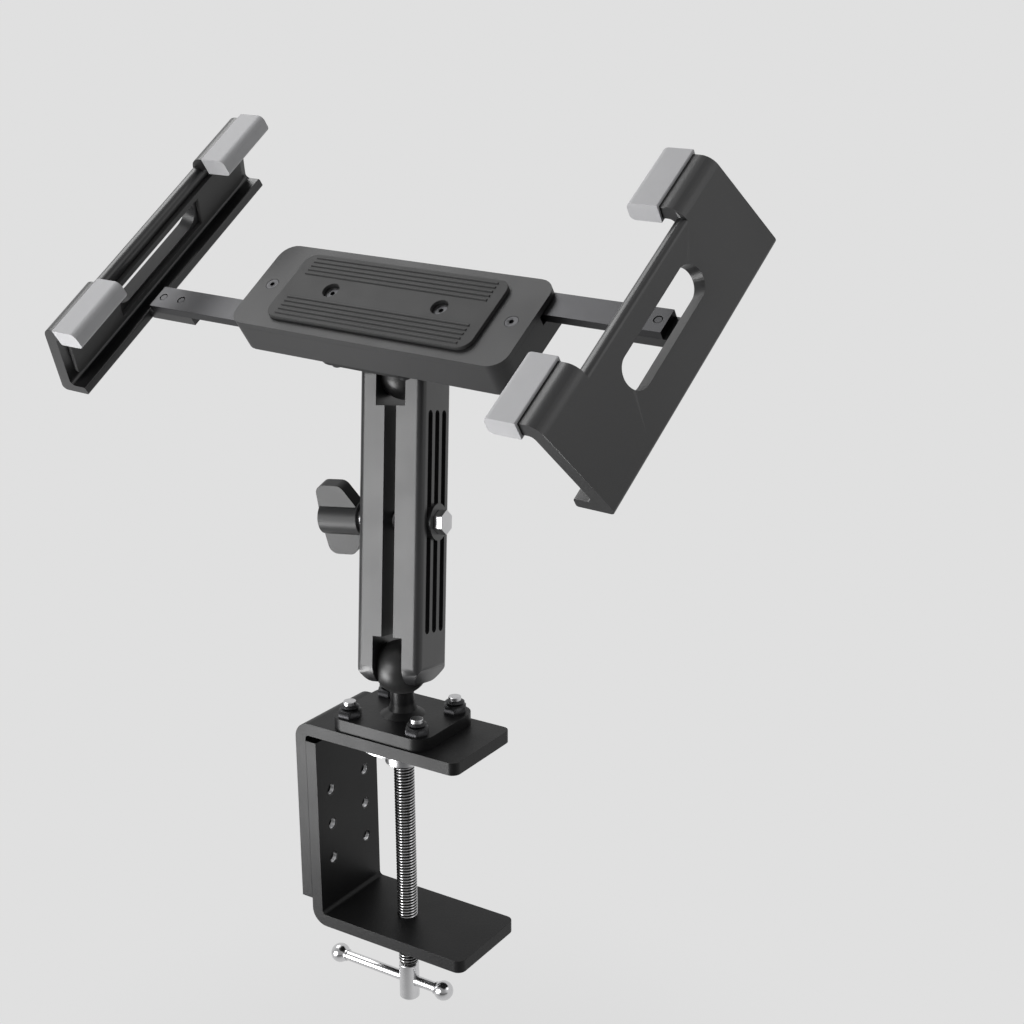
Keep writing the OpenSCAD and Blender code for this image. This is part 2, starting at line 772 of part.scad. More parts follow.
function tooth_path(turn) =
  let (
    root = pitch_r - dedendum,
    radii = [for (i = [0:4]) base_r + (pitch_r + addendum - base_r) * i / 4],
    foot = tooth_half(base_r)
  )
  concat(
    [root * [cos(turn - foot), sin(turn - foot)]],
    [for (r = radii) r * [cos(turn - tooth_half(r)), sin(turn - tooth_half(r))]],
    [for (i = [4:-1:0]) radii[i] * [cos(turn + tooth_half(radii[i])), sin(turn + tooth_half(radii[i]))]],
    [root * [cos(turn + foot), sin(turn + foot)]]
  );

module pinion() {
  color(steel_plated) on_holder() slab(slide_y - eps, slide_t - 2 * eps) difference() {
    polygon([for (k = [0:pinion_teeth - 1]) each tooth_path(k * 360 / pinion_teeth)]);
    circle(d = axle_d + 2 * run_fit);
  }
}

// One side's pieces, drawn on the right. The left side is the right one turned half round.

module on_side(side) {
  on_holder() rotate([0, side > 0 ? 0 : 180, 0]) children();
}

function rack_path() =
  let (
    pitch = PI * tooth_m,
    count = floor(2 * (rack_end - 2) / pitch / 2) * 2,
    foot = pitch / 4 + dedendum * tan(20),
    head = pitch / 4 - addendum * tan(20)
  )
  [for (k = [0:count - 1])
    let (x = (k - count / 2 + 0.5) * pitch)
    each [[x - foot, rack_root], [x - head, rack_z - addendum],
      [x + head, rack_z - addendum], [x + foot, rack_root]]];

module slide_bar(side) {
  end_x = jaw_u - 1;
  tab_z = spring_z - peg_r - 0.6;
  color(steel_black) on_side(side) {
    difference() {
      slab(slide_y, slide_t) polygon(concat(
        [[-bar_in, slide_edge], [-bar_in, rack_root]], rack_path(),
        [[rack_end - 2, rack_root], [rack_end - 2, tab_z], [rack_end + 4, tab_z], [rack_end + 4, rack_root],
         [end_x, rack_root], [end_x, slide_edge]]));
      for (x = jaw_screw_x) pin(x, bar_mid_z, slide_y + 1, slide_t + 2, jaw_screw_d + 2 * eps);
    }
    pin(peg_x, spring_z, slide_y + spring_room - 1, spring_room - 1 + eps, 2 * peg_r);
  }
}

module jaw_screws(side) {
  head_t = 0.6 * jaw_screw_d;
  color(steel_black) on_side(side) for (x = jaw_screw_x) {
    pin(x, bar_mid_z, jaw_back_y, lip_t + slide_t - 0.2, jaw_screw_d);
    difference() {
      pin(x, bar_mid_z, jaw_back_y + head_t, head_t, 1.9 * jaw_screw_d);
      translate([x, jaw_back_y + head_t + 1, bar_mid_z]) rotate([90, 0, 0])
        cylinder(h = head_t, d = 0.7 * jaw_screw_d, $fn = 6);
    }
  }
}

// Where the wall's outer face lies at a depth y behind the front
function wall_u(y) = jaw_u + (y - jaw_front_y) * tan(slant);

function lip_path() = [
  [wall_u(jaw_back_y), jaw_back_y], [wall_u(jaw_back_y) - lip_reach, jaw_back_y],
  [wall_u(jaw_back_y) - lip_reach, slide_y], [wall_u(slide_y) - wall_in, slide_y]];

module jaw_hook() {
  hook_y = jaw_front_y + hook_t;
  polygon(rounded(concat(
    [[jaw_u - hook_reach, hook_y], [jaw_u - hook_reach, jaw_front_y], [jaw_u, jaw_front_y]],
    lip_path(), [[wall_u(hook_y) - wall_in, hook_y]]),
    [1.5, 2.5, hook_r, 2, 1, 1, 2, hook_r - wall_t + 1]));
}

module jaw_wall() {
  front = jaw_front_y + wall_cut;
  polygon(rounded(concat([[wall_u(front) - wall_in, front], [wall_u(front), front]], lip_path()),
    [2.6, 2.6, 2, 1, 1, 2]));
}

// Runs a section drawn in X and Y along the jaw, from z to z + l
module along_jaw(z, l) {
  translate([0, 0, z]) linear_extrude(l) children();
}

module on_wall(depth) {
  translate([wall_u(jaw_front_y + depth) - wall_in / 2, jaw_front_y + depth, 0])
    rotate([0, 0, -slant]) children();
}

module jaw(side) {
  color(plastic_dark) on_side(side) difference() {
    union() {
      along_jaw(-jaw_h / 2, hook_w) jaw_hook();
      along_jaw(hook_w - jaw_h / 2, jaw_h - 2 * hook_w) jaw_wall();
      along_jaw(jaw_h / 2 - hook_w, hook_w) jaw_hook();
      slab(jaw_back_y, lip_t) translate([tongue_x, rack_root])
        square([jaw_u - tongue_x + 2, slide_edge - rack_root]);
    }
    on_wall(jaw_depth / 2) rotate([0, 90, 0]) rotate([0, 0, 90]) slot_cut(slot_l, slot_w, 3 * wall_t);
    for (x = jaw_screw_x) pin(x, bar_mid_z, jaw_back_y + 1, lip_t + 2, jaw_screw_d + 2 * eps);
  }
}

// Rubber boots on the hook tips
module hook_tips(side) {
  tip = [[-tip_t, hook_t + tip_t], [-tip_t, -tip_t], [tip_l, -tip_t], [tip_l, hook_t + tip_t]];
  color(rubber_grey) on_side(side) for (end = [-1, 1]) difference() {
    translate([jaw_u - hook_reach, jaw_front_y, end * (jaw_h - hook_w) / 2 - hook_w / 2 - tip_t])
      linear_extrude(hook_w + 2 * tip_t) polygon(rounded(tip, [2.5, 3, 0.6, 0.6]));
    along_jaw(end * (jaw_h - hook_w) / 2 - hook_w / 2, hook_w) jaw_hook();
  }
}

module wall_strip(side) {
  depth = jaw_depth - lip_t - hook_t - 9;
  color(rubber_black) on_side(side) on_wall((jaw_depth - lip_t + hook_t) / 2)
    translate([-wall_t / 2 - strip_pad_t, 0, 0]) rotate([90, 0, 90])
      linear_extrude(strip_pad_t) difference() {
        polygon(rounded(box_path(depth / cos(slant), jaw_h - 10), [3, 3, 3, 3]));
        square([slot_w + 3, slot_l + 3], center = true);
      }
}

module pull_spring(side) {
  start = -post_x + peg_r + coil_wire / 2 + 0.1;
  end = peg_x - peg_r - coil_wire / 2 - 0.1;
  color(steel_plated) on_side(side) translate([start, spring_y, spring_z])
    coil(end - start, coil_r, coil_wire, 14);
}

upper_bracket();
lower_bracket();
spine_screws();
base_bolts();
base_nuts();
lower_ball_base();
swivel_pad();
clamp_screw();
pad_ring();
tommy_bar();
bar_ends();
lower_ball_cover();
ribbed_arm_half();
arm_bolt();
arm_spring();
plain_arm_half();
knob_washer();
wing_knob();
knob_insert();
upper_ball_cover();
upper_ball_base();
upper_base_screws();
rear_housing();
front_cover();
cover_screws();
grip_pad();
pinion_axle();
pinion();
pull_spring(1);  // right_spring
pull_spring(-1);  // left_spring
slide_bar(1);  // right_slide
jaw(1);  // right_jaw
jaw_screws(1);  // right_jaw_screws
hook_tips(1);  // right_hook_tips
wall_strip(1);  // right_wall_strip
slide_bar(-1);  // left_slide
jaw(-1);  // left_jaw
jaw_screws(-1);  // left_jaw_screws
hook_tips(-1);  // left_hook_tips
wall_strip(-1);  // left_wall_strip
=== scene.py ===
# %% [markdown]
# # A desk holder on a ball-jointed arm
#
# The holder is clamped to a desk edge by a C-shaped clamp of bent steel strip. A double arm grips a
# rubber-covered ball at each end. The upper ball carries a slide housing, and two hooked jaws slide
# out of it.
#
# The real sizes and the moving parts come from a CAD model. Here that model is loaded as a fixed
# frame, each part gets its finish, and parts that need finer detail are made again around it.

# %% Load the frame
import json
import math

import bmesh
import bpy
from mathutils import Matrix, Vector

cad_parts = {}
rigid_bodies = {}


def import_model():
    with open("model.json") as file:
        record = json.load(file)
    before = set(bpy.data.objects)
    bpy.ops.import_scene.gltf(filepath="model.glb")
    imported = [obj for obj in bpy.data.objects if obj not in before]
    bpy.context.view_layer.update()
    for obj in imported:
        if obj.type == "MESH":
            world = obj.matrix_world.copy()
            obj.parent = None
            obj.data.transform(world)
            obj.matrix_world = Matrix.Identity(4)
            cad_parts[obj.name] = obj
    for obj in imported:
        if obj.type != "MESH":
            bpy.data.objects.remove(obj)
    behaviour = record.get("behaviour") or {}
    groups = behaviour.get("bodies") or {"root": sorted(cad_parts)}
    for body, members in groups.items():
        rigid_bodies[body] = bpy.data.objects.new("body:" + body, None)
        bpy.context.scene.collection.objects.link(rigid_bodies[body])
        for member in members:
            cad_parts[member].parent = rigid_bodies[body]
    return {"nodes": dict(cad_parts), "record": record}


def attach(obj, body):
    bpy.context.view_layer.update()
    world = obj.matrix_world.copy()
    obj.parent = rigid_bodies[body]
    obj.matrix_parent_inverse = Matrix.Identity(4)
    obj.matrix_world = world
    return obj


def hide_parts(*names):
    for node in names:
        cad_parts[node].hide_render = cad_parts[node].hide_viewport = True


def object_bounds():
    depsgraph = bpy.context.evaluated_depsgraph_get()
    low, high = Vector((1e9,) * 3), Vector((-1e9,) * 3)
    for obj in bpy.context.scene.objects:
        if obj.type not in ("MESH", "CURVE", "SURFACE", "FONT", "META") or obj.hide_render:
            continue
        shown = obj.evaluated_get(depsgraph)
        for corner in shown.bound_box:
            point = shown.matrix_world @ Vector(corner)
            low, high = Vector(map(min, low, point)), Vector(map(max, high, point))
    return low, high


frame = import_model()
cad_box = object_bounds()
MM = 0.001

# %% [markdown]
# The camera stands to the right of the clamp, a little above the holder, and looks slightly down.
# A long lens keeps the perspective mild. The camera is turned in steps that can be read off: first
# upright towards +Y, then a small roll, a pitch down and a turn to the left.

# %% Camera
CAMERA_AT = Vector((399.4, -533.3, 300.5)) * MM
CAMERA_YAW = 32.76
CAMERA_PITCH = 16.34
CAMERA_ROLL = 0.3
SENSOR_MM = 36
LENS_MM = 54.43
SHIFT_X = 0.0082
SHIFT_Y = 0.0065


def turn(axis, degrees):
    """A rotation about one axis."""
    return Matrix.Rotation(math.radians(degrees), 4, axis)


camera = bpy.data.objects.new("camera", bpy.data.cameras.new("camera"))
camera.data.sensor_width = SENSOR_MM
camera.data.lens = LENS_MM
camera.data.shift_x = SHIFT_X
camera.data.shift_y = SHIFT_Y
camera.data.clip_start = 0.02
camera.data.clip_end = 60
camera.matrix_world = (
    Matrix.Translation(CAMERA_AT)
    @ turn("Z", CAMERA_YAW) @ turn("X", -CAMERA_PITCH) @ turn("Y", CAMERA_ROLL) @ turn("X", 90)
)
bpy.context.scene.collection.objects.link(camera)
bpy.context.scene.camera = camera
bpy.context.scene.view_settings.view_transform = "Standard"
print("camera:", LENS_MM, "mm lens,", round(CAMERA_AT.length, 3), "m from the clamp")

# %% [markdown]
# Shaders and Geometry Nodes are both node trees, so one small pair of classes builds both. `Nodes`
# adds a node in one call. `Value` wraps a socket and understands + - * /, so a formula in a tree
# reads like a formula in Python.

# %% Node trees as Python expressions
class Value:
    """A socket that Python's operators work on."""

    def __init__(self, nodes, socket):
        self.nodes = nodes
        self.socket = socket

    def maths(self, operation, *others):
        values = dict(enumerate((self, *others)))
        return self.nodes.add("ShaderNodeMath", {"operation": operation}, values)

    def __add__(self, other):
        return self.maths("ADD", other)

    def __sub__(self, other):
        return self.maths("SUBTRACT", other)

    def __mul__(self, other):
        return self.maths("MULTIPLY", other)

    def __truediv__(self, other):
        return self.maths("DIVIDE", other)

    def __rsub__(self, other):
        return (self * -1.0) + other

    __radd__ = __add__
    __rmul__ = __mul__


class Nodes:
    """A node tree, built node by node."""

    def __init__(self, tree):
        self.tree = tree

    def join(self, value, socket):
        """Links a Value to a socket, or sets a plain value on it."""
        if isinstance(value, Value):
            self.tree.links.new(value.socket, socket)
        else:
            socket.default_value = value

    def add(self, kind, settings=None, inputs=None, output=0):
        """Adds a node and gives one of its outputs."""
        node = self.tree.nodes.new(kind)
        for key, value in (settings or {}).items():
            setattr(node, key, value)
        for key, value in (inputs or {}).items():
            self.join(value, node.inputs[key])
        return Value(self, node.outputs[output])


# %% [markdown]
# Every finish starts from the Principled shader. What never varies, such as metalness, is set on its
# sockets. What varies over the surface, such as the colour and the roughness, comes from noise in
# Object coordinates, which are metres on the real object: a scale of 1000 gives grains of 1 mm.

# %% Finish
class Finish(Nodes):
    """A material, with the helpers that this object's finishes share."""

    def __init__(self, name, **sockets):
        self.material = bpy.data.materials.new(name)
        self.material.use_nodes = True
        super().__init__(self.material.node_tree)
        self.shader = self.tree.nodes["Principled BSDF"]
        for key, value in sockets.items():
            self.set(key.replace("_", " "), value)

    def set(self, socket, value):
        self.join(value, self.shader.inputs[socket])

    def place(self):
        """Object coordinates."""
        return self.add("ShaderNodeTexCoord", output=3)

    def noise(self, size_mm, detail):
        return self.add("ShaderNodeTexNoise", None, {
            "Vector": self.place(), "Scale": 1 / (size_mm * MM), "Detail": detail})

    def between(self, factor, low, high):
        """A number that runs from low to high as factor runs from 0 to 1."""
        return factor * (high - low) + low

    def colours(self, factor, low, high):
        """A colour that runs from low to high as factor runs from 0 to 1."""
        mix = self.tree.nodes.new("ShaderNodeMix")
        mix.data_type = "RGBA"
        self.join(factor, mix.inputs[0])
        for colour, socket in ((low, mix.inputs[6]), (high, mix.inputs[7])):
            self.join(colour if isinstance(colour, Value) else (*colour, 1.0), socket)
        return Value(self, mix.outputs[2])

    def bump(self, height, depth_mm, under=None):
        """Relief of the given depth, on top of another relief if there is one."""
        inputs = {"Height": height, "Distance": depth_mm * MM, "Strength": 1.0}
        if under is not None:
            inputs["Normal"] = under
        return self.add("ShaderNodeBump", None, inputs)


# %% [markdown]
# The clamp's two brackets and the ball bases are powder coated. Powder melts into a hard skin with a
# fine orange peel. A picture of such a skin would show its edges and repeat, so the peel is a soft
# noise of about a millimetre under a finer one, and the skin shines a little less where hands and
# tools have rubbed it.

# %% Powder coat
def powder_coat(name, colour, peel_mm, roughness):
    finish = Finish(name, IOR=1.3)
    rubbed = finish.noise(size_mm=22, detail=2.0)
    peel = finish.noise(size_mm=peel_mm, detail=1.0)
    grain = finish.noise(size_mm=peel_mm / 3, detail=1.0)
    lighter = tuple(channel * 1.35 for channel in colour)
    finish.set("Base Color", finish.colours(rubbed, colour, lighter))
    finish.set("Roughness", finish.between(rubbed, roughness - 0.06, roughness + 0.08))
    skin = finish.bump(peel, depth_mm=0.04)
    finish.set("Normal", finish.bump(grain, depth_mm=0.015, under=skin))
    return finish.material


COAT_BLACK = (0.005, 0.005, 0.0053)
coated_steel = powder_coat("coated_steel", COAT_BLACK, peel_mm=0.9, roughness=0.42)
cast_base = powder_coat("cast_base", COAT_BLACK, peel_mm=1.6, roughness=0.38)
print("powder coats:", coated_steel.name, cast_base.name)

# %% [markdown]
# The arm is cast alloy under a thin satin coat. Its faces look smoother than the strip's, with a
# slow waviness from the casting that bends the reflections along its length. Two bumps are stacked,
# a fine grain on the slow waves, and the waves also vary the gloss, as a coat is thinner on a crest.

# %% Arm coat
def arm_coat():
    finish = Finish("arm_coat", Specular_IOR_Level=0.6)
    waves = finish.noise(size_mm=14, detail=1.0)
    grain = finish.noise(size_mm=0.5, detail=2.0)
    finish.set("Base Color", finish.colours(waves, (0.012, 0.012, 0.0125), (0.018, 0.018, 0.019)))
    finish.set("Roughness", finish.between(waves, 0.28, 0.38))
    cast_face = finish.bump(waves, depth_mm=0.12)
    finish.set("Normal", finish.bump(grain, depth_mm=0.012, under=cast_face))
    return finish.material


arm_alloy = arm_coat()
print("arm coat:", len(arm_alloy.node_tree.nodes), "nodes")

# %% [markdown]
# Moulded plastic takes the texture of the spark-eroded steel it was moulded in: an even grain of
# about a third of a millimetre, which scatters the highlights into a soft sheen. One function makes
# the plastics of the jaws, the housing and the knob, which differ only in grain and gloss.

# %% Moulded plastic
def moulded(name, colour, grain_mm, roughness, ior=1.42):
    finish = Finish(name, IOR=ior)
    grain = finish.noise(size_mm=grain_mm, detail=2.0)
    handled = finish.noise(size_mm=30, detail=2.0)
    lighter = tuple(channel * 1.25 for channel in colour)
    finish.set("Base Color", finish.colours(handled, colour, lighter))
    finish.set("Roughness", finish.between(handled, roughness - 0.05, roughness + 0.07))
    finish.set("Normal", finish.bump(grain, depth_mm=0.035))
    return finish.material


jaw_plastic = moulded("jaw_plastic", (0.011, 0.011, 0.0115), grain_mm=0.35, roughness=0.36, ior=1.52)
shell_plastic = moulded("shell_plastic", (0.014, 0.014, 0.0145), grain_mm=0.45, roughness=0.5)
knob_plastic = moulded("knob_plastic", (0.012, 0.012, 0.0125), grain_mm=0.4, roughness=0.42)
print("plastics:", jaw_plastic.name, shell_plastic.name, knob_plastic.name)

# %% [markdown]
# Rubber is dull. It scatters light like fine dust lying on it, which sheen imitates, and its colour is
# a little uneven. The balls and pads are black and the boots on the hooks are light grey.

# %% Rubber
def rubber(name, colour, dusty, roughness, sheen=0.12):
    finish = Finish(name, Specular_IOR_Level=0.4, Sheen_Weight=sheen, Sheen_Roughness=0.5)
    dust = finish.noise(size_mm=9, detail=3.0)
    grain = finish.noise(size_mm=0.25, detail=2.0)
    finish.set("Base Color", finish.colours(dust, colour, dusty))
    finish.set("Roughness", finish.between(dust, roughness - 0.06, roughness + 0.06))
    finish.set("Normal", finish.bump(grain, depth_mm=0.02))
    return finish.material


def grey(value):
    return (value, value, value)


ball_rubber = rubber("ball_rubber", grey(0.008), grey(0.013), roughness=0.36, sheen=0.04)
pad_rubber = rubber("pad_rubber", grey(0.013), grey(0.024), roughness=0.66)
tip_rubber = rubber("tip_rubber", (0.37, 0.37, 0.38), (0.43, 0.43, 0.44), roughness=0.6)
print("rubbers:", ball_rubber.name, pad_rubber.name, tip_rubber.name)

# %% [markdown]
# The screw, the tommy bar and the small inner parts are plated, and the other fasteners are blackened.
# All are metals, so their look is in the reflections: fine turning marks round the screw's own axis,
# and faint stains where fingers have been. The roots of the screw's thread are painted dark, as shade
# painted into the grooves, and made rougher. The root is found by its distance from the screw's axis.

# %% Plated steel
CREST_R = 5.0 * MM
ROOT_R = 4.15 * MM
THREAD_LOW = -119.0 * MM
THREAD_HIGH = -9.0 * MM
# The thread's roots are painted dark and dull: this is painted shade in the grooves.
UNSHADED_RIM = 0.08 * MM
ROOT_SHADE_DEPTH = 0.3 * MM
ROOT_SHADE_COLOUR = (0.012, 0.012, 0.011)


def shade_in_roots(finish, x, y, z):
    """1 in the painted shade of the screw's thread roots, 0 on its crests and everywhere else."""
    radius = (x * x + y * y).maths("SQRT")
    depth = finish.add("ShaderNodeMapRange", {"interpolation_type": "SMOOTHSTEP"}, {
        "Value": radius, "From Min": CREST_R - UNSHADED_RIM, "From Max": ROOT_R + ROOT_SHADE_DEPTH})
    threaded = z.maths("GREATER_THAN", THREAD_LOW) * z.maths("LESS_THAN", THREAD_HIGH)
    return depth * threaded * radius.maths("GREATER_THAN", ROOT_R - 0.1 * MM)


def plated(name, colour, roughness, marks_mm, marks_depth, shaded_roots=False):
    """Turned and plated metal: its marks run round Z and are marks_mm apart and marks_depth mm deep."""
    finish = Finish(name, Metallic=1.0)
    stains = finish.noise(size_mm=7, detail=4.0)
    where = finish.place()
    x, y, z = (finish.add("ShaderNodeSeparateXYZ", None, {0: where}, output=k) for k in range(3))
    stretched = finish.add("ShaderNodeCombineXYZ", None, {2: z / (marks_mm * MM)})
    marks = finish.add("ShaderNodeTexNoise", None, {"Vector": stretched, "Scale": 1.0, "Detail": 2.0})
    duller = tuple(channel * 0.82 for channel in colour)
    shade = finish.colours(stains, duller, colour)
    rough = finish.between(stains, roughness, roughness + 0.12)
    # Painted shade: the thread's roots are made darker in colour, and rougher.
    if shaded_roots:
        root_shade = shade_in_roots(finish, x, y, z)
        shade = finish.colours(root_shade, shade, ROOT_SHADE_COLOUR)
        rough = rough + root_shade * 0.3
    finish.set("Base Color", shade)
    finish.set("Roughness", rough)
    finish.set("Normal", finish.bump(marks, marks_depth))
    return finish.material


plated_steel = plated("plated_steel", (0.62, 0.62, 0.63), 0.24, marks_mm=0.3, marks_depth=0.006)
black_steel = plated("black_steel", (0.045, 0.045, 0.047), 0.36, marks_mm=0.4, marks_depth=0.004)
screw_steel = plated(
    "screw_steel", (0.7, 0.7, 0.71), 0.12, marks_mm=0.2, marks_depth=0.003, shaded_roots=True)
slide_steel = plated("slide_steel", (0.05, 0.05, 0.052), 0.36, marks_mm=0.5, marks_depth=0.008)
spring_steel = plated("spring_steel", (0.55, 0.55, 0.56), 0.22, marks_mm=0.1, marks_depth=0.002)

# %% [markdown]
# The CAD model's record says which finish each part has and on which moving body it rides. Every CAD
# part gets its finish here, also those that are made again below, so that none is ever left bare.

# %% Finishes on the CAD parts
FINISHES = {
    "coated_steel": coated_steel, "cast_base": cast_base, "arm_alloy": arm_alloy,
    "plated_steel": plated_steel, "black_steel": black_steel, "screw_steel": screw_steel,
    "slide_steel": slide_steel, "spring_steel": spring_steel, "ball_rubber": ball_rubber,
    "pad_rubber": pad_rubber, "tip_rubber": tip_rubber, "knob_plastic": knob_plastic,
    "shell_plastic": shell_plastic, "jaw_plastic": jaw_plastic,
}
SLOT_OF = {part["node"]: part["material_slot"] for part in frame["record"]["subparts"]}
BODIES = frame["record"]["behaviour"]["bodies"]
BODY_OF = {node: body for body, nodes in BODIES.items() for node in nodes}
for node, part in frame["nodes"].items():
    part.data.materials.clear()
    part.data.materials.append(FINISHES[SLOT_OF[node]])
print("finishes:", len(FINISHES))

# %% [markdown]
# No real edge is perfectly sharp, and it is the thin highlight along an edge that tells the eye how
# thick a coat is. A CAD node's mesh has hard edges and must not be changed, so a copy is made: its
# loose triangles are merged, flat areas are joined again, and a Bevel modifier rounds what is left.
# Weighted Normal modifier then gives the large faces the say over the shading, so that they look flat.

# %% Modifiers made real
SHARP_ANGLE = math.radians(32)


def apply_modifiers(piece):
    evaluated = piece.evaluated_get(bpy.context.evaluated_depsgraph_get())
    mesh = bpy.data.meshes.new_from_object(evaluated)
    piece.modifiers.clear()
    piece.data = mesh
    return mesh


def finished_mesh(piece):
    """Applies a piece's modifiers and shades it smooth, up to its real edges."""
    mesh = apply_modifiers(piece)
    mesh.shade_smooth()
    mesh.set_sharp_from_angle(angle=SHARP_ANGLE)
    flatten = piece.modifiers.new("flat_faces", "WEIGHTED_NORMAL")
    flatten.keep_sharp = True
    flatten.weight = 100
    apply_modifiers(piece)


def ease(piece, width_mm):
    """Rounds a piece's sharp edges."""
    bevel = piece.modifiers.new("edges", "BEVEL")
    bevel.width = width_mm * MM
    bevel.segments = 2
    bevel.limit_method = "ANGLE"
    bevel.angle_limit = SHARP_ANGLE
    finished_mesh(piece)


def new_piece(name, mesh, material):
    """An object for a mesh, with one finish all over."""
    piece = bpy.data.objects.new(name, mesh)
    piece.data.materials.clear()
    piece.data.materials.append(material)
    bpy.context.scene.collection.objects.link(piece)
    return piece


def ride_for(piece, node):
    """The piece moves with the node that it stands for, which is hidden."""
    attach(piece, BODY_OF[node])
    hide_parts(node)


# %% Parts with eased edges
SAME_POINT = 0.002 * MM
SAME_PLANE = math.radians(0.4)


def eased_part(node, width_mm):
    """A copy of a CAD part with rounded edges, which takes that part's place."""
    mesh = frame["nodes"][node].data.copy()
    work = bmesh.new()
    work.from_mesh(mesh)
    bmesh.ops.remove_doubles(work, verts=work.verts, dist=SAME_POINT)
    bmesh.ops.dissolve_limit(work, angle_limit=SAME_PLANE, verts=work.verts, edges=work.edges)
    work.to_mesh(mesh)
    work.free()
    piece = new_piece("eased_" + node, mesh, FINISHES[SLOT_OF[node]])
    ease(piece, width_mm)
    ride_for(piece, node)
    return piece


EDGE_MM = {
    "upper_bracket": 0.5, "lower_bracket": 0.5, "lower_ball_base": 0.6, "upper_ball_base": 0.6,
    "ribbed_arm_half": 0.5, "plain_arm_half": 0.5, "wing_knob": 0.7, "rear_housing": 0.5,
    "front_cover": 0.4, "right_jaw": 0.45, "left_jaw": 0.45, "right_hook_tips": 0.4,
    "left_hook_tips": 0.4, "grip_pad": 0.4, "right_slide": 0.15, "left_slide": 0.15,
    "right_wall_strip": 0.5, "left_wall_strip": 0.5, "knob_washer": 0.2, "swivel_pad": 0.2,
    "arm_bolt": 0.5, "base_bolts": 0.5,
}
for node, width in EDGE_MM.items():
    eased = eased_part(node, width)
    print(eased.name, len(eased.data.polygons), "faces")

# %% [markdown]
# Three frames help to place what isn't upright, so that a screw's place can be written as it would be
# on a drawing of the holder alone. The arm's frame has its origin at the lower ball and Z along the
# arm. The upper ball's has its origin at that ball, X along the slides and -Y out of the holder's
# front. The holder's lies a little to the right of it, in the middle of the housing. Their angles are
# those of the CAD model.

# %% Frames of the arm and the holder
LOWER_BALL = Vector((0, 0, 35)) * MM
ARM_LENGTH = 135 * MM
BASE_SHIFT = 10 * MM
ARM_SWIVEL = 7
ARM_LEAN = -12
ARM_TILT = -4.2
HOLDER_SWIVEL = -2.4
HOLDER_ROLL = 2.4
HOLDER_NOD = -53.4
ON_ARM = (
    Matrix.Translation(LOWER_BALL)
    @ turn("Z", ARM_SWIVEL) @ turn("X", ARM_LEAN) @ turn("Y", ARM_TILT)
)
UPPER_BALL = ON_ARM @ Vector((0, 0, ARM_LENGTH))
ON_UPPER_BALL = (
    Matrix.Translation(UPPER_BALL)
    @ turn("Z", HOLDER_SWIVEL) @ turn("Y", HOLDER_ROLL) @ turn("X", HOLDER_NOD)
)
ON_HOLDER = ON_UPPER_BALL @ Matrix.Translation((BASE_SHIFT, 0, 0))
print("upper ball at", [round(value / MM, 2) for value in UPPER_BALL])

# %% [markdown]
# The clamp screw is an M10 thread: one ridge that climbs 1.5 mm a turn. A ridge swept along a spiral
# would still have to be joined to a core. Instead, Geometry Nodes start from a finely divided
# cylinder and move each point in or out by a rule: how far round it is and how high it is say where
# it stands between one crest and the next.

# %% A tree's named inputs
def geometry_tree(name, inputs):
    """An empty Geometry Nodes tree with named inputs; gives the tree and its input values."""
    tree = bpy.data.node_groups.new(name, "GeometryNodeTree")
    tree.interface.new_socket(name="Geometry", in_out="OUTPUT", socket_type="NodeSocketGeometry")
    for label, kind in inputs.items():
        tree.interface.new_socket(name=label, in_out="INPUT", socket_type="NodeSocket" + kind)
    nodes = Nodes(tree)
    entry = tree.nodes.new("NodeGroupInput")
    return nodes, {label: Value(nodes, entry.outputs[label]) for label in inputs}


def close_tree(nodes, geometry, material):
    """Ends a tree: instances become real faces, with their finish on."""
    real = nodes.add("GeometryNodeRealizeInstances", None, {0: geometry})
    finished = nodes.add("GeometryNodeSetMaterial", None, {"Geometry": real, "Material": material})
    exit_node = nodes.tree.nodes.new("NodeGroupOutput")
    nodes.join(finished, exit_node.inputs[0])


def run_tree(name, tree, values, start=None):
    """Runs a tree on a new object, from the start mesh if it has one, and keeps the result."""
    piece = bpy.data.objects.new(name, start or bpy.data.meshes.new(name))
    bpy.context.scene.collection.objects.link(piece)
    modifier = piece.modifiers.new("rule", "NODES")
    modifier.node_group = tree
    for item in tree.interface.items_tree:
        if item.in_out == "INPUT" and item.name in values:
            modifier[item.identifier] = values[item.name]
    finished_mesh(piece)
    return piece


# %% Thread
PITCH = 1.5 * MM
RINGS_A_TURN = 10
CREST_FLAT = 0.12
ROOT_FLAT = 0.9
FLANK_BLEND = 0.08
THREAD_SIDES = 40


def thread_tree():
    """A cylinder whose points sink by a depth that runs from a crest to a root once a turn."""
    nodes, given = geometry_tree("thread", {
        "Length": "Float", "Crest Radius": "Float", "Depth": "Float", "Pitch": "Float",
        "Rings": "Int", "Finish": "Material"})
    tube = nodes.add("GeometryNodeMeshCylinder", None, {
        "Vertices": THREAD_SIDES, "Side Segments": given["Rings"],
        "Radius": given["Crest Radius"], "Depth": given["Length"]})
    place = nodes.add("GeometryNodeInputPosition")
    x, y, z = (nodes.add("ShaderNodeSeparateXYZ", None, {0: place}, output=k) for k in range(3))
    along = z / given["Pitch"] - y.maths("ARCTAN2", x) / math.tau
    from_crest = along.maths("PINGPONG", 0.5) * 2.0
    crested = from_crest.maths("SMOOTH_MAX", CREST_FLAT, FLANK_BLEND)
    flank = crested.maths("SMOOTH_MIN", ROOT_FLAT, FLANK_BLEND)
    end = given["Length"] / 2.0 - z.maths("ABSOLUTE")
    run_out = (end / given["Pitch"]).maths("MINIMUM", 1.0)
    depth = flank * run_out + (1.0 - run_out) * ROOT_FLAT
    shrink = 1.0 - depth * given["Depth"] / given["Crest Radius"]
    squeezed = nodes.add("ShaderNodeCombineXYZ", None, {0: x * shrink, 1: y * shrink, 2: z})
    shaped = nodes.add("GeometryNodeSetPosition", None, {"Geometry": tube, "Position": squeezed})
    close_tree(nodes, shaped, given["Finish"])
    return nodes.tree


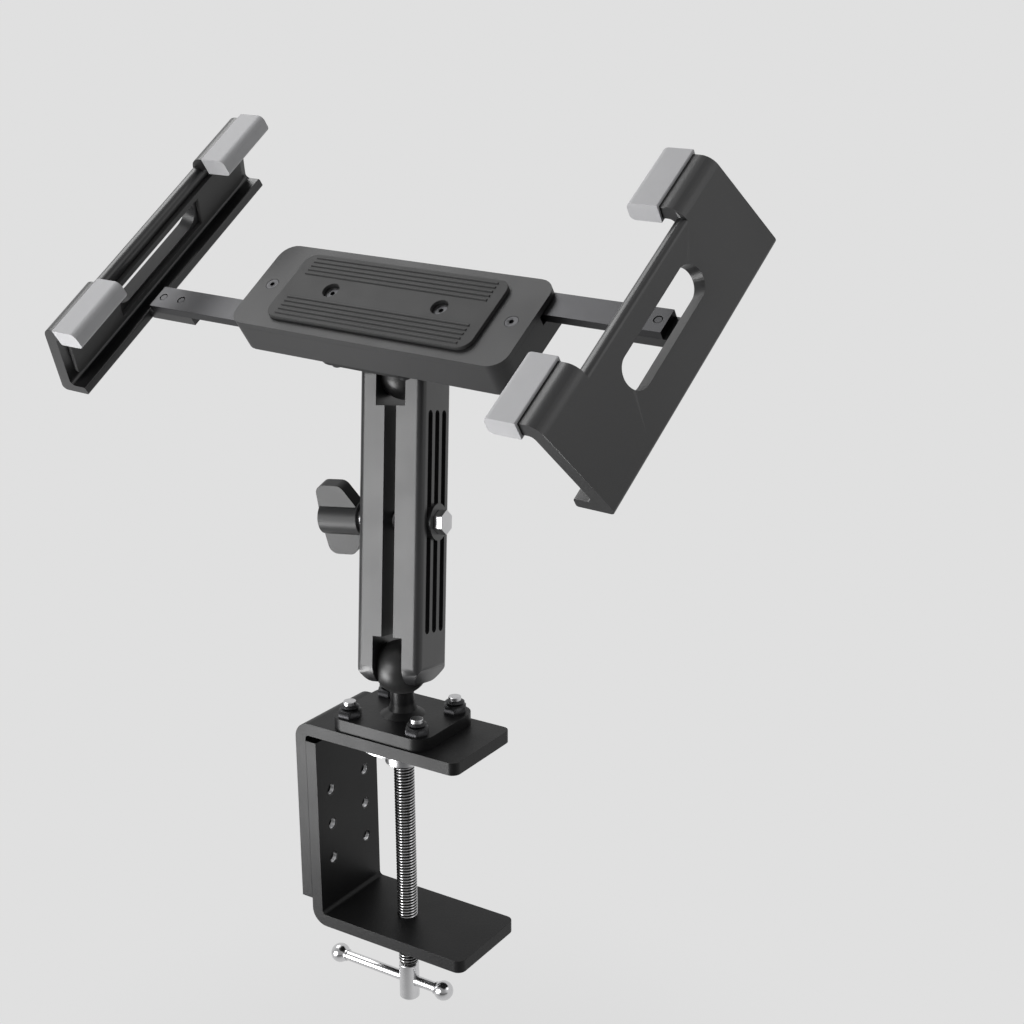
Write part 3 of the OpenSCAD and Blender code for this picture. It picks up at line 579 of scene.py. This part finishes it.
thread = run_tree("screw_thread", thread_tree(), {
    "Length": THREAD_HIGH - THREAD_LOW, "Crest Radius": CREST_R, "Depth": CREST_R - ROOT_R,
    "Pitch": PITCH, "Rings": int((THREAD_HIGH - THREAD_LOW) / PITCH * RINGS_A_TURN),
    "Finish": screw_steel})
thread.data.transform(Matrix.Translation((0, 0, (THREAD_HIGH + THREAD_LOW) / 2)))
print("thread:", len(thread.data.polygons), "faces")

# %% [markdown]
# Below the thread the screw is plain, with a drilled cross hole for the tommy bar. Both are made as in
# a workshop, because the few sizes of a drawing are then all that the script needs: a turned shape is
# a half outline that is spun round, the hole is a Boolean, and the edges are eased last.

# %% Turned shapes
ON_AXIS = 0.0001 * MM


def lathe(name, outline, material, steps=64):
    """Spins (radius, height) points in metres round Z, into a closed shape."""
    shape = bmesh.new()
    rings = []
    for radius, height in outline:
        if radius < ON_AXIS:
            rings.append([shape.verts.new((0, 0, height))])
            continue
        ring = []
        for k in range(steps):
            angle = math.tau * k / steps
            ring.append(shape.verts.new((radius * math.cos(angle), radius * math.sin(angle), height)))
        rings.append(ring)
    for low, high in zip(rings, rings[1:]):
        for k in range(steps):
            corners = (
                low[k % len(low)], low[(k + 1) % len(low)],
                high[(k + 1) % len(high)], high[k % len(high)])
            shape.faces.new(list(dict.fromkeys(corners)))
    bmesh.ops.remove_doubles(shape, verts=shape.verts, dist=ON_AXIS)
    bmesh.ops.recalc_face_normals(shape, faces=shape.faces)
    mesh = bpy.data.meshes.new(name)
    shape.to_mesh(mesh)
    shape.free()
    return new_piece(name, mesh, material)


def drill(piece, radius, matrix, length=0.05, sides=48):
    """Cuts a round or many-sided hole along the Z axis of matrix, half its length each way."""
    tool = bmesh.new()
    bmesh.ops.create_cone(
        tool, cap_ends=True, segments=sides, radius1=radius, radius2=radius, depth=length, matrix=matrix)
    mesh = bpy.data.meshes.new("drill")
    tool.to_mesh(mesh)
    tool.free()
    cutter = bpy.data.objects.new("drill", mesh)
    bpy.context.scene.collection.objects.link(cutter)
    cut = piece.modifiers.new("hole", "BOOLEAN")
    cut.object = cutter
    cut.solver = "EXACT"
    finished_mesh(piece)
    bpy.data.objects.remove(cutter)


def join_pieces(main, *others):
    """Joins meshes into the first piece, which keeps its name."""
    with bpy.context.temp_override(active_object=main, selected_editable_objects=[main, *others]):
        bpy.ops.object.join()
    return main


# %% Clamp screw
SCREW_END = -138.5 * MM
PLAIN_R = 4.9 * MM
END_BEVEL = 1.0 * MM
STEP_DOWN = 0.8 * MM
BAR_Z = -128.5 * MM
BAR_HOLE_R = 2.55 * MM
SPIGOT_R = 3.2 * MM
SPIGOT_TOP = -1.1 * MM
SPIGOT_BEVEL = 0.4 * MM

screw_end = lathe("screw_end", [
    (0, SCREW_END), (PLAIN_R - END_BEVEL, SCREW_END), (PLAIN_R, SCREW_END + END_BEVEL),
    (PLAIN_R, THREAD_LOW - STEP_DOWN), (ROOT_R, THREAD_LOW), (0, THREAD_LOW)], screw_steel)
drill(screw_end, BAR_HOLE_R, Matrix.Translation((0, 0, BAR_Z)) @ turn("Y", 90))
ease(screw_end, 0.25)
spigot = lathe("spigot", [
    (0, THREAD_HIGH), (SPIGOT_R, THREAD_HIGH), (SPIGOT_R, SPIGOT_TOP - SPIGOT_BEVEL),
    (SPIGOT_R - SPIGOT_BEVEL, SPIGOT_TOP), (0, SPIGOT_TOP)], screw_steel, steps=48)
clamp_screw = join_pieces(thread, screw_end, spigot)
clamp_screw.name = "threaded_screw"
ride_for(clamp_screw, "clamp_screw")
print(clamp_screw.name, len(clamp_screw.data.polygons), "faces")

# %% [markdown]
# The tommy bar's ends were pressed on after the bar went through the screw. Each is a turned knob: a
# ball with a short collar on the inner side. Its half outline is an arc worked out in a loop, which
# stops at the bar, and three points for the collar. The collar is short, because it comes close to
# the screw when the bar is pushed through.

# %% Tommy bar
BAR_SHIFT = -11.2 * MM
BAR_HALF = 31.5 * MM
KNOB_R = 4.75 * MM
COLLAR_R = 3.1 * MM
COLLAR_TOP = -4.0 * MM
COLLAR_LOW = -4.6 * MM
ARC_STEPS = 20


def bar_end(side):
    outline = [(0, KNOB_R)]
    for k in range(1, ARC_STEPS):
        angle = math.pi * k / ARC_STEPS
        if KNOB_R * math.sin(angle) < BAR_HOLE_R and k > ARC_STEPS / 2:
            break
        outline.append((KNOB_R * math.sin(angle), KNOB_R * math.cos(angle)))
    outline += [
        (COLLAR_R, COLLAR_TOP), (COLLAR_R, COLLAR_LOW), (BAR_HOLE_R, COLLAR_LOW - 0.1 * MM),
        (BAR_HOLE_R, 0), (0, 0)]
    end = lathe("bar_end", outline, screw_steel, steps=40)
    end.data.transform(
        Matrix.Translation((BAR_SHIFT + side * BAR_HALF, 0, BAR_Z)) @ turn("Y", 90 * side))
    finished_mesh(end)
    return end


ride_for(join_pieces(bar_end(1), bar_end(-1)), "bar_ends")
print("bar ends", 2 * BAR_HALF / MM, "mm apart")

# %% [markdown]
# Screw heads and nuts repeat, and they differ only in size and in how many sides they have. So one
# tree makes them all: a round or six-sided body is cut to a dome, a socket is sunk in it, and the
# head is set on each given point, facing a given way.

# %% Heads on points
def heads_tree():
    """A head or a nut: sides, dome and socket are inputs, and it stands on every point it is given."""
    nodes, given = geometry_tree("heads", {
        "Points": "Geometry", "Facing": "Vector", "Finish": "Material",
        "Sides": "Int", "Radius": "Float", "Height": "Float", "Dome": "Float",
        "Socket Sides": "Int", "Socket Radius": "Float", "Socket Depth": "Float"})

    def lift(geometry, height):
        offset = nodes.add("ShaderNodeCombineXYZ", None, {2: height})
        return nodes.add("GeometryNodeTransform", None, {"Geometry": geometry, "Translation": offset})

    body = nodes.add("GeometryNodeMeshCylinder", None, {
        "Vertices": given["Sides"], "Radius": given["Radius"], "Depth": given["Height"]})
    ball = nodes.add("GeometryNodeMeshUVSphere", None, {
        "Segments": 48, "Rings": 32, "Radius": given["Dome"]})
    cut = nodes.tree.nodes.new("GeometryNodeMeshBoolean")
    cut.operation = "INTERSECT"
    cut.solver = "EXACT"
    for part in (lift(body, given["Height"] / 2.0), lift(ball, given["Height"] - given["Dome"])):
        nodes.tree.links.new(part.socket, cut.inputs["Mesh 2"])
    socket = nodes.add("GeometryNodeMeshCylinder", None, {
        "Vertices": given["Socket Sides"], "Radius": given["Socket Radius"],
        "Depth": given["Socket Depth"] * 2.0})
    head = nodes.add("GeometryNodeMeshBoolean", {"operation": "DIFFERENCE", "solver": "EXACT"}, {
        "Mesh 1": Value(nodes, cut.outputs[0]), "Mesh 2": lift(socket, given["Height"])})
    facing = nodes.add("FunctionNodeAlignRotationToVector", {"axis": "Z"}, {"Vector": given["Facing"]})
    placed = nodes.add("GeometryNodeInstanceOnPoints", None, {
        "Points": given["Points"], "Instance": head, "Rotation": facing})
    close_tree(nodes, placed, given["Finish"])
    return nodes.tree


HEADS = heads_tree()


def heads(name, node, places, facing, radius, height, dome, socket, depth,
          sides=48, socket_sides=6, edge=0.15):
    """Sizes in millimetres; places in metres. The finish is that of the CAD node they stand for."""
    points = bpy.data.meshes.new(name)
    points.from_pydata([tuple(place) for place in places], [], [])
    piece = run_tree(name, HEADS, {
        "Facing": facing, "Finish": FINISHES[SLOT_OF[node]],
        "Sides": sides, "Radius": radius * MM, "Height": height * MM, "Dome": dome * MM,
        "Socket Sides": socket_sides, "Socket Radius": socket * MM, "Socket Depth": depth * MM},
        points)
    ease(piece, edge)
    return piece


def to_facing(facing):
    """The turn that points Z in the given direction."""
    return Vector(facing).to_track_quat("Z", "Y").to_matrix().to_4x4()


TIP_BEVEL = 0.4
IN_HEAD = 0.5


def shanks(name, node, places, facing, radius, start):
    """Plain screw shanks, from start (millimetres along facing) to a little way into the heads."""
    parts = []
    for place in places:
        shank = lathe(name, [
            (0, start * MM), ((radius - TIP_BEVEL) * MM, start * MM),
            (radius * MM, (start + TIP_BEVEL) * MM), (radius * MM, IN_HEAD * MM), (0, IN_HEAD * MM)],
            FINISHES[SLOT_OF[node]], steps=32)
        shank.data.transform(Matrix.Translation(place) @ to_facing(facing))
        finished_mesh(shank)
        parts.append(shank)
    return parts


# %% [markdown]
# Four button-head screws join the two strips that make the clamp's spine. The inner strip has six
# tapped holes in three rows, and the screws sit in the upper and the lower row. The same grid of holes
# places the screws here and the rims of the holes in the next step.

# %% Screws of the clamp's spine
SPINE_FACE = -46.0 * MM
SPINE_MID = -48.417 * MM
SPINE_PITCH = 18 * MM
SPINE_HALF_WIDTH = 13 * MM
OUTWARDS = (-1, 0, 0)


def spine_hole(x, row, side):
    return Vector((x, side * SPINE_HALF_WIDTH, SPINE_MID + row * SPINE_PITCH))


spine_places = [spine_hole(SPINE_FACE, row, side) for row in (-1, 1) for side in (-1, 1)]
spine_heads = heads("spine_heads", "spine_screws", spine_places, OUTWARDS,
                    radius=4.75, height=2.75, dome=6.0, socket=1.6, depth=1.6)
spine_shanks = shanks("spine_shank", "spine_screws", spine_places, OUTWARDS, radius=2.5, start=-10)
ride_for(join_pieces(spine_heads, *spine_shanks), "spine_screws")
print("spine screws:", len(spine_places))

# %% [markdown]
# The holes of the inner strip were tapped after it was coated, so their chamfered rims and their
# threads are bare metal and catch the light. A Boolean would put new edges into the strip's large
# flat face, so each rim is a thin turned sleeve in the CAD part's plain hole. Only the first turns
# are made, since no more shows.

# %% Tapped holes of the spine
STRIP_T = 6 * MM
INNER_FACE = SPINE_FACE + 2 * STRIP_T
TAP_LOW = 2.15 * MM
TAP_HIGH = 2.5 * MM
TAP_RIM = 2.9 * MM
TAP_PITCH = 0.8 * MM
TAP_TURNS = 2
PROUD = 0.02 * MM
SLEEVE_WALL = 0.04 * MM


def tapped_hole(row, side):
    """A turned sleeve: its chamfer, its first turns of thread, and its hidden back wall."""
    rim = (TAP_RIM, -PROUD)
    start = TAP_RIM - TAP_LOW
    wall = TAP_HIGH + SLEEVE_WALL
    outline = [rim, (TAP_LOW, start), (TAP_HIGH, start + TAP_PITCH / 2)]
    for k in range(1, TAP_TURNS + 1):
        outline.append((TAP_LOW, start + k * TAP_PITCH))
        outline.append((TAP_HIGH, start + (k + 0.5) * TAP_PITCH))
    outline += [(wall, outline[-1][1]), (wall, start), rim]
    hole = lathe("tapped_hole", outline, plated_steel, steps=40)
    hole.data.transform(Matrix.Translation(spine_hole(INNER_FACE, row, side)) @ turn("Y", -90))
    finished_mesh(hole)
    return hole


taps = join_pieces(*[tapped_hole(row, side) for row in (-1, 0, 1) for side in (-1, 1)])
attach(taps, BODY_OF["lower_bracket"])
print("tapped holes:", len(taps.data.polygons), "faces")

# %% [markdown]
# The lower base is held by four bolts from below with lock nuts on top, 38.05 mm apart one way and
# 30.17 mm the other, as is usual for a ball of this size. A lock nut is a hexagon with chamfered
# corners, a collar above it, and the bolt's end standing in the middle. The tree for heads makes both:
# its dome chamfers the corners, and its socket goes right through for the bolt.

# %% Lock nuts of the lower base
HOLE_X = 38.05 / 2 * MM
HOLE_Y = 30.17 / 2 * MM
FLANGE_TOP = 12 * MM
COLLAR_LIFT = 4.6 * MM
THREAD_R_MM = 3.02
UPWARDS = (0, 0, 1)

nut_places = [Vector((x * HOLE_X, y * HOLE_Y, FLANGE_TOP)) for x in (-1, 1) for y in (-1, 1)]
collar_places = [place + Vector((0, 0, COLLAR_LIFT)) for place in nut_places]
nuts = heads("lock_nuts", "base_nuts", nut_places, UPWARDS, radius=5.75, height=4.8, dome=8.4,
             socket=THREAD_R_MM, depth=6.0, sides=6, socket_sides=40, edge=0.2)
collars = heads("lock_collars", "base_nuts", collar_places, UPWARDS, radius=4.6, height=1.6, dome=7.5,
                socket=THREAD_R_MM, depth=3.0, socket_sides=40, edge=0.2)
ride_for(join_pieces(nuts, collars), "base_nuts")
print("lock nuts:", len(nut_places))

# %% [markdown]
# The upper base is the same casting as the lower one, turned round. Four cap screws hold it to the
# housing's back, so they use the same holes and the same tree, with taller heads that face the ball.

# %% Screws of the upper base
FLANGE_BACK = -23 * MM
TOWARDS_BALL = tuple(ON_HOLDER.to_3x3() @ Vector((0, 1, 0)))

cap_places = [
    ON_UPPER_BALL @ Vector((x * HOLE_X, FLANGE_BACK, z * HOLE_Y)) for x in (-1, 1) for z in (-1, 1)]
cap_heads = heads("cap_heads", "upper_base_screws", cap_places, TOWARDS_BALL,
                  radius=4.25, height=5.0, dome=14.0, socket=2.25, depth=2.5)
cap_shanks = shanks("cap_shank", "upper_base_screws", cap_places, TOWARDS_BALL, radius=2.5, start=-14)
ride_for(join_pieces(cap_heads, *cap_shanks), "upper_base_screws")
print("cap screws:", len(cap_places))

# %% [markdown]
# The front cover is held by four countersunk screws. Their heads are cones, which the tree for heads
# can't make, so they are turned and drilled like the clamp screw's end.

# %% Screws of the front cover
COVER_FACE = -45.8 * MM
COVER_SCREW_X = (-66, -30, 30, 66)
SUNK = 0.1 * MM
SINK_R = 3.0 * MM
SHANK_R = 1.5 * MM
SOCKET_R = 1.15 * MM
SOCKET_DEPTH = 1.1 * MM
COVER_SCREW_LENGTH = 8.9 * MM


def cover_screw(x):
    """A countersunk screw, a little below the cover's face, with a six-sided socket."""
    screw = lathe("cover_screw", [
        (0, 0), (SINK_R, 0), (SHANK_R, SINK_R - SHANK_R), (SHANK_R, COVER_SCREW_LENGTH),
        (0, COVER_SCREW_LENGTH)], FINISHES[SLOT_OF["cover_screws"]], steps=48)
    drill(screw, SOCKET_R, Matrix.Identity(4), length=2 * SOCKET_DEPTH, sides=6)
    ease(screw, 0.12)
    screw.data.transform(ON_HOLDER @ Matrix.Translation((x, COVER_FACE + SUNK, 0)) @ turn("X", -90))
    return screw


ride_for(join_pieces(*(cover_screw(x * MM) for x in COVER_SCREW_X)), "cover_screws")
print("cover screws:", len(COVER_SCREW_X))

# %% [markdown]
# Two button-head screws hold each jaw to its slide bar, from behind. The left jaw is the right one
# turned by 180 degrees about the holder's Y axis, so one function places both pairs.

# %% Screws of the jaws
JAW_SCREW_X = (114.1, 125.8)
JAW_FOOT_BACK = -34 * MM
SLIDE_MID = 15.575 * MM


def jaw_screws(node, half_turn):
    turned = ON_HOLDER @ turn("Y", half_turn)
    places = [turned @ Vector((x * MM, JAW_FOOT_BACK, SLIDE_MID)) for x in JAW_SCREW_X]
    jaw_heads = heads("jaw_heads", node, places, TOWARDS_BALL,
                      radius=3.8, height=2.4, dome=6.0, socket=1.4, depth=1.3)
    jaw_shanks = shanks("jaw_shank", node, places, TOWARDS_BALL, radius=2.0, start=-8.3)
    ride_for(join_pieces(jaw_heads, *jaw_shanks), node)
    print(node, len(places))


jaw_screws("right_jaw_screws", 0)
jaw_screws("left_jaw_screws", 180)

# %% [markdown]
# A spring opens the arm when the knob is undone, and two long ones pull the jaws together. Each
# follows a path: a spiral curve is given a round section, and Geometry Nodes turn it into a smooth
# wire, finer than the coarse tube of the CAD model and just as long.

# %% Springs
def spring_tree():
    nodes, given = geometry_tree("spring", {
        "Length": "Float", "Coil Radius": "Float", "Turns": "Float", "Wire Radius": "Float",
        "Finish": "Material"})
    path = nodes.add("GeometryNodeCurveSpiral", None, {
        "Resolution": 28, "Rotations": given["Turns"], "Start Radius": given["Coil Radius"],
        "End Radius": given["Coil Radius"], "Height": given["Length"]})
    ring = nodes.add("GeometryNodeCurvePrimitiveCircle", None, {
        "Resolution": 12, "Radius": given["Wire Radius"]})
    wire = nodes.add("GeometryNodeCurveToMesh", None, {
        "Curve": path, "Profile Curve": ring, "Fill Caps": True})
    close_tree(nodes, wire, given["Finish"])
    return nodes.tree


SPRING = spring_tree()


def spring(name, node, matrix, length, radius, turns, wire):
    """Sizes in millimetres. The spring runs along the X axis of matrix."""
    piece = run_tree(name, SPRING, {
        "Length": length * MM, "Coil Radius": radius * MM, "Turns": turns, "Wire Radius": wire / 2 * MM,
        "Finish": spring_steel})
    piece.data.transform(matrix @ turn("Y", 90))
    ride_for(piece, node)
    print(name, len(piece.data.polygons), "faces")


ARM_COIL_MM = 12.5
ARM_COIL_AT = Vector((-ARM_COIL_MM / 2 * MM, 0, ARM_LENGTH / 2))
PULL_COIL_AT = Vector((-68, -34.9, 7.55)) * MM
spring("arm_coil", "arm_spring", ON_ARM @ Matrix.Translation(ARM_COIL_AT),
       length=ARM_COIL_MM, radius=4.5, turns=5.0, wire=1.1)
for half_turn, node in ((0, "right_spring"), (180, "left_spring")):
    along = ON_HOLDER @ turn("Y", half_turn) @ Matrix.Translation(PULL_COIL_AT)
    spring("pull_coil", node, along, length=103, radius=2.3, turns=14.0, wire=0.8)

# %% [markdown]
# The rubber pad on the holder's front has low ribs, which grip and let the air out. They are rounded
# bars on a row of points, half sunk in the pad: a cylinder repeated by Geometry Nodes is lighter than
# a pad cut into ribs, and its count and spacing stay open to change.

# %% Ribs of the grip pad
def ribs_tree():
    nodes, given = geometry_tree("ribs", {
        "Count": "Int", "Spacing": "Float", "Length": "Float", "Radius": "Float", "Finish": "Material"})
    step = nodes.add("ShaderNodeCombineXYZ", None, {2: given["Spacing"]})
    row = nodes.add("GeometryNodeMeshLine", None, {"Count": given["Count"], "Offset": step})
    bar = nodes.add("GeometryNodeMeshCylinder", None, {
        "Vertices": 16, "Side Segments": 1, "Radius": given["Radius"], "Depth": given["Length"]})
    flat = nodes.add("GeometryNodeTransform", None, {"Geometry": bar, "Rotation": (0, math.pi / 2, 0)})
    placed = nodes.add("GeometryNodeInstanceOnPoints", None, {"Points": row, "Instance": flat})
    close_tree(nodes, placed, given["Finish"])
    return nodes.tree


RIBS = ribs_tree()
PAD_FACE = -47.7 * MM
RIB_FIELDS_MM = (-17.5, 7.5)
for low in RIB_FIELDS_MM:
    ribs = run_tree("grip_ribs", RIBS, {
        "Count": 5, "Spacing": 2.5 * MM, "Length": 100 * MM, "Radius": 0.6 * MM, "Finish": pad_rubber})
    ribs.data.transform(ON_HOLDER @ Matrix.Translation((0, PAD_FACE, low * MM)))
    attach(ribs, "holder")
print("fields of ribs:", len(RIB_FIELDS_MM))

# %% [markdown]
# The studio is a pale floor that fades into a backdrop of the same colour, so no horizon shows. The
# clamp is held by a desk's edge and stands on nothing, so the floor lies below it, deep enough for the
# screw to be wound all the way down. Under the object the floor is partly a plain matt surface, which
# takes its soft shadow. Further out it turns wholly to the backdrop's own colour where the camera
# sees it. That takes one material on one large square, and no curved backdrop.

# %% Studio
BACKDROP = grey(0.745)
SCREW_TRAVEL = 78 * MM
FLOOR_Z = cad_box[0][2] - SCREW_TRAVEL - 2 * MM
FLOOR_HALF = 20
SHADOW_NEAR = 0.05
SHADOW_FAR = 0.34
SHADOWLESS = 0.45
FRONT_DIM = 0.2
DIM_Y = -0.3
BRIGHT_Y = 0.0

floor_shape = bmesh.new()
bmesh.ops.create_grid(floor_shape, x_segments=1, y_segments=1, size=FLOOR_HALF)
floor_mesh = bpy.data.meshes.new("floor")
floor_shape.to_mesh(floor_mesh)
floor_shape.free()
floor_mesh.transform(Matrix.Translation((0, 0, FLOOR_Z)))


def floor_finish():
    """Matt near the object and glowing further out, with a glow that metal sees dimmed in front."""
    finish = Finish("studio_floor", Roughness=0.9, Specular_IOR_Level=0.1, Base_Color=(*BACKDROP, 1.0))
    where = finish.place()
    distance = finish.add("ShaderNodeVectorMath", {"operation": "LENGTH"}, {0: where}, output=1)
    far = finish.add("ShaderNodeMapRange", {"interpolation_type": "SMOOTHSTEP"}, {
        "Value": distance, "From Min": SHADOW_NEAR, "From Max": SHADOW_FAR, "To Min": SHADOWLESS})
    rays = finish.tree.nodes.new("ShaderNodeLightPath")
    seen = Value(finish, rays.outputs["Is Camera Ray"])
    mirrored = Value(finish, rays.outputs["Is Glossy Ray"]).maths(
        "MAXIMUM", Value(finish, rays.outputs["Is Transmission Ray"]))
    front = finish.add("ShaderNodeMapRange", {"interpolation_type": "SMOOTHSTEP"}, {
        "Value": finish.add("ShaderNodeSeparateXYZ", None, {0: where}, output=1),
        "From Min": DIM_Y, "From Max": BRIGHT_Y, "To Min": FRONT_DIM})
    glow = finish.add("ShaderNodeEmission", None, {
        "Color": (*BACKDROP, 1.0), "Strength": seen + mirrored * front})
    surface = Value(finish, finish.shader.outputs[0])
    mixed = finish.add("ShaderNodeMixShader", None, {0: far * seen + mirrored, 1: surface, 2: glow})
    finish.join(mixed, finish.tree.nodes["Material Output"].inputs["Surface"])
    return finish.material


floor = new_piece("floor", floor_mesh, floor_finish())
print("floor at", round(FLOOR_Z / MM, 1), "mm")

# %% [markdown]
# Three soft panels light the object. The main one hangs high on the left, one in front on the left
# puts the long highlights on the arm, and a weak one fills from the right. A small card of light lies
# low in front, where the strip's front edges mirror it, and it leaves the floor unlit. The camera
# sees the backdrop all round, and so does metal, but the room in front is dim, and that puts the dark
# lines into polished steel.

# %% Light
def panel(name, at, towards, size, watts):
    """A round soft light that shines from one point towards another."""
    lamp = bpy.data.lights.new(name, "AREA")
    lamp.shape = "DISK"
    lamp.size = size
    lamp.energy = watts
    holder = bpy.data.objects.new(name, lamp)
    direction = Vector(towards) - Vector(at)
    turned = direction.to_track_quat("-Z", "Y").to_matrix().to_4x4()
    holder.matrix_world = Matrix.Translation(at) @ turned
    holder.visible_camera = False
    bpy.context.scene.collection.objects.link(holder)
    return holder


panel("main_panel", (-0.9, 0.05, 1.4), (0, 0, 0.1), size=0.9, watts=12)
panel("front_panel", (-0.52, -1.32, 0.2), (0, 0, 0.08), size=0.8, watts=11)
panel("fill_panel", (1.2, 0.2, 0.9), (0, 0, 0.05), size=0.8, watts=2)
low_card = panel("low_card", (-0.21, -0.29, -0.125), (-0.02, -0.03, -0.04), size=0.24, watts=1.8)
lit_by_card = bpy.data.collections.new("lit_by_card")
for piece in bpy.context.scene.objects:
    if piece.type == "MESH" and piece != floor:
        lit_by_card.objects.link(piece)
low_card.light_linking.receiver_collection = lit_by_card

# %% [markdown]
# What the camera and polished metal see beyond the floor is the world. It has the backdrop's colour,
# and the light that it gives to everything else is weaker, so that the panels shape the object. One
# Light Path node tells these rays apart, so no second backdrop is needed.

# %% World
AMBIENT = 0.4
DIM_FACING = -0.75
BRIGHT_FACING = -0.1

world = bpy.data.worlds.new("studio")
world.use_nodes = True
bpy.context.scene.world = world
sky = Nodes(world.node_tree)
rays = sky.tree.nodes.new("ShaderNodeLightPath")
direction = sky.add("ShaderNodeTexCoord")
front = sky.add("ShaderNodeMapRange", {"interpolation_type": "SMOOTHSTEP"}, {
    "Value": sky.add("ShaderNodeSeparateXYZ", None, {0: direction}, output=1),
    "From Min": DIM_FACING, "From Max": BRIGHT_FACING, "To Min": FRONT_DIM})
mirrored = Value(sky, rays.outputs["Is Glossy Ray"]).maths(
    "MAXIMUM", Value(sky, rays.outputs["Is Transmission Ray"]))
seen = Value(sky, rays.outputs["Is Camera Ray"]).maths("MAXIMUM", mirrored * front)
backdrop = sky.tree.nodes["Background"]
backdrop.inputs["Color"].default_value = (*BACKDROP, 1.0)
sky.join(seen * (1 - AMBIENT) + AMBIENT, backdrop.inputs["Strength"])
print("world:", world.name)
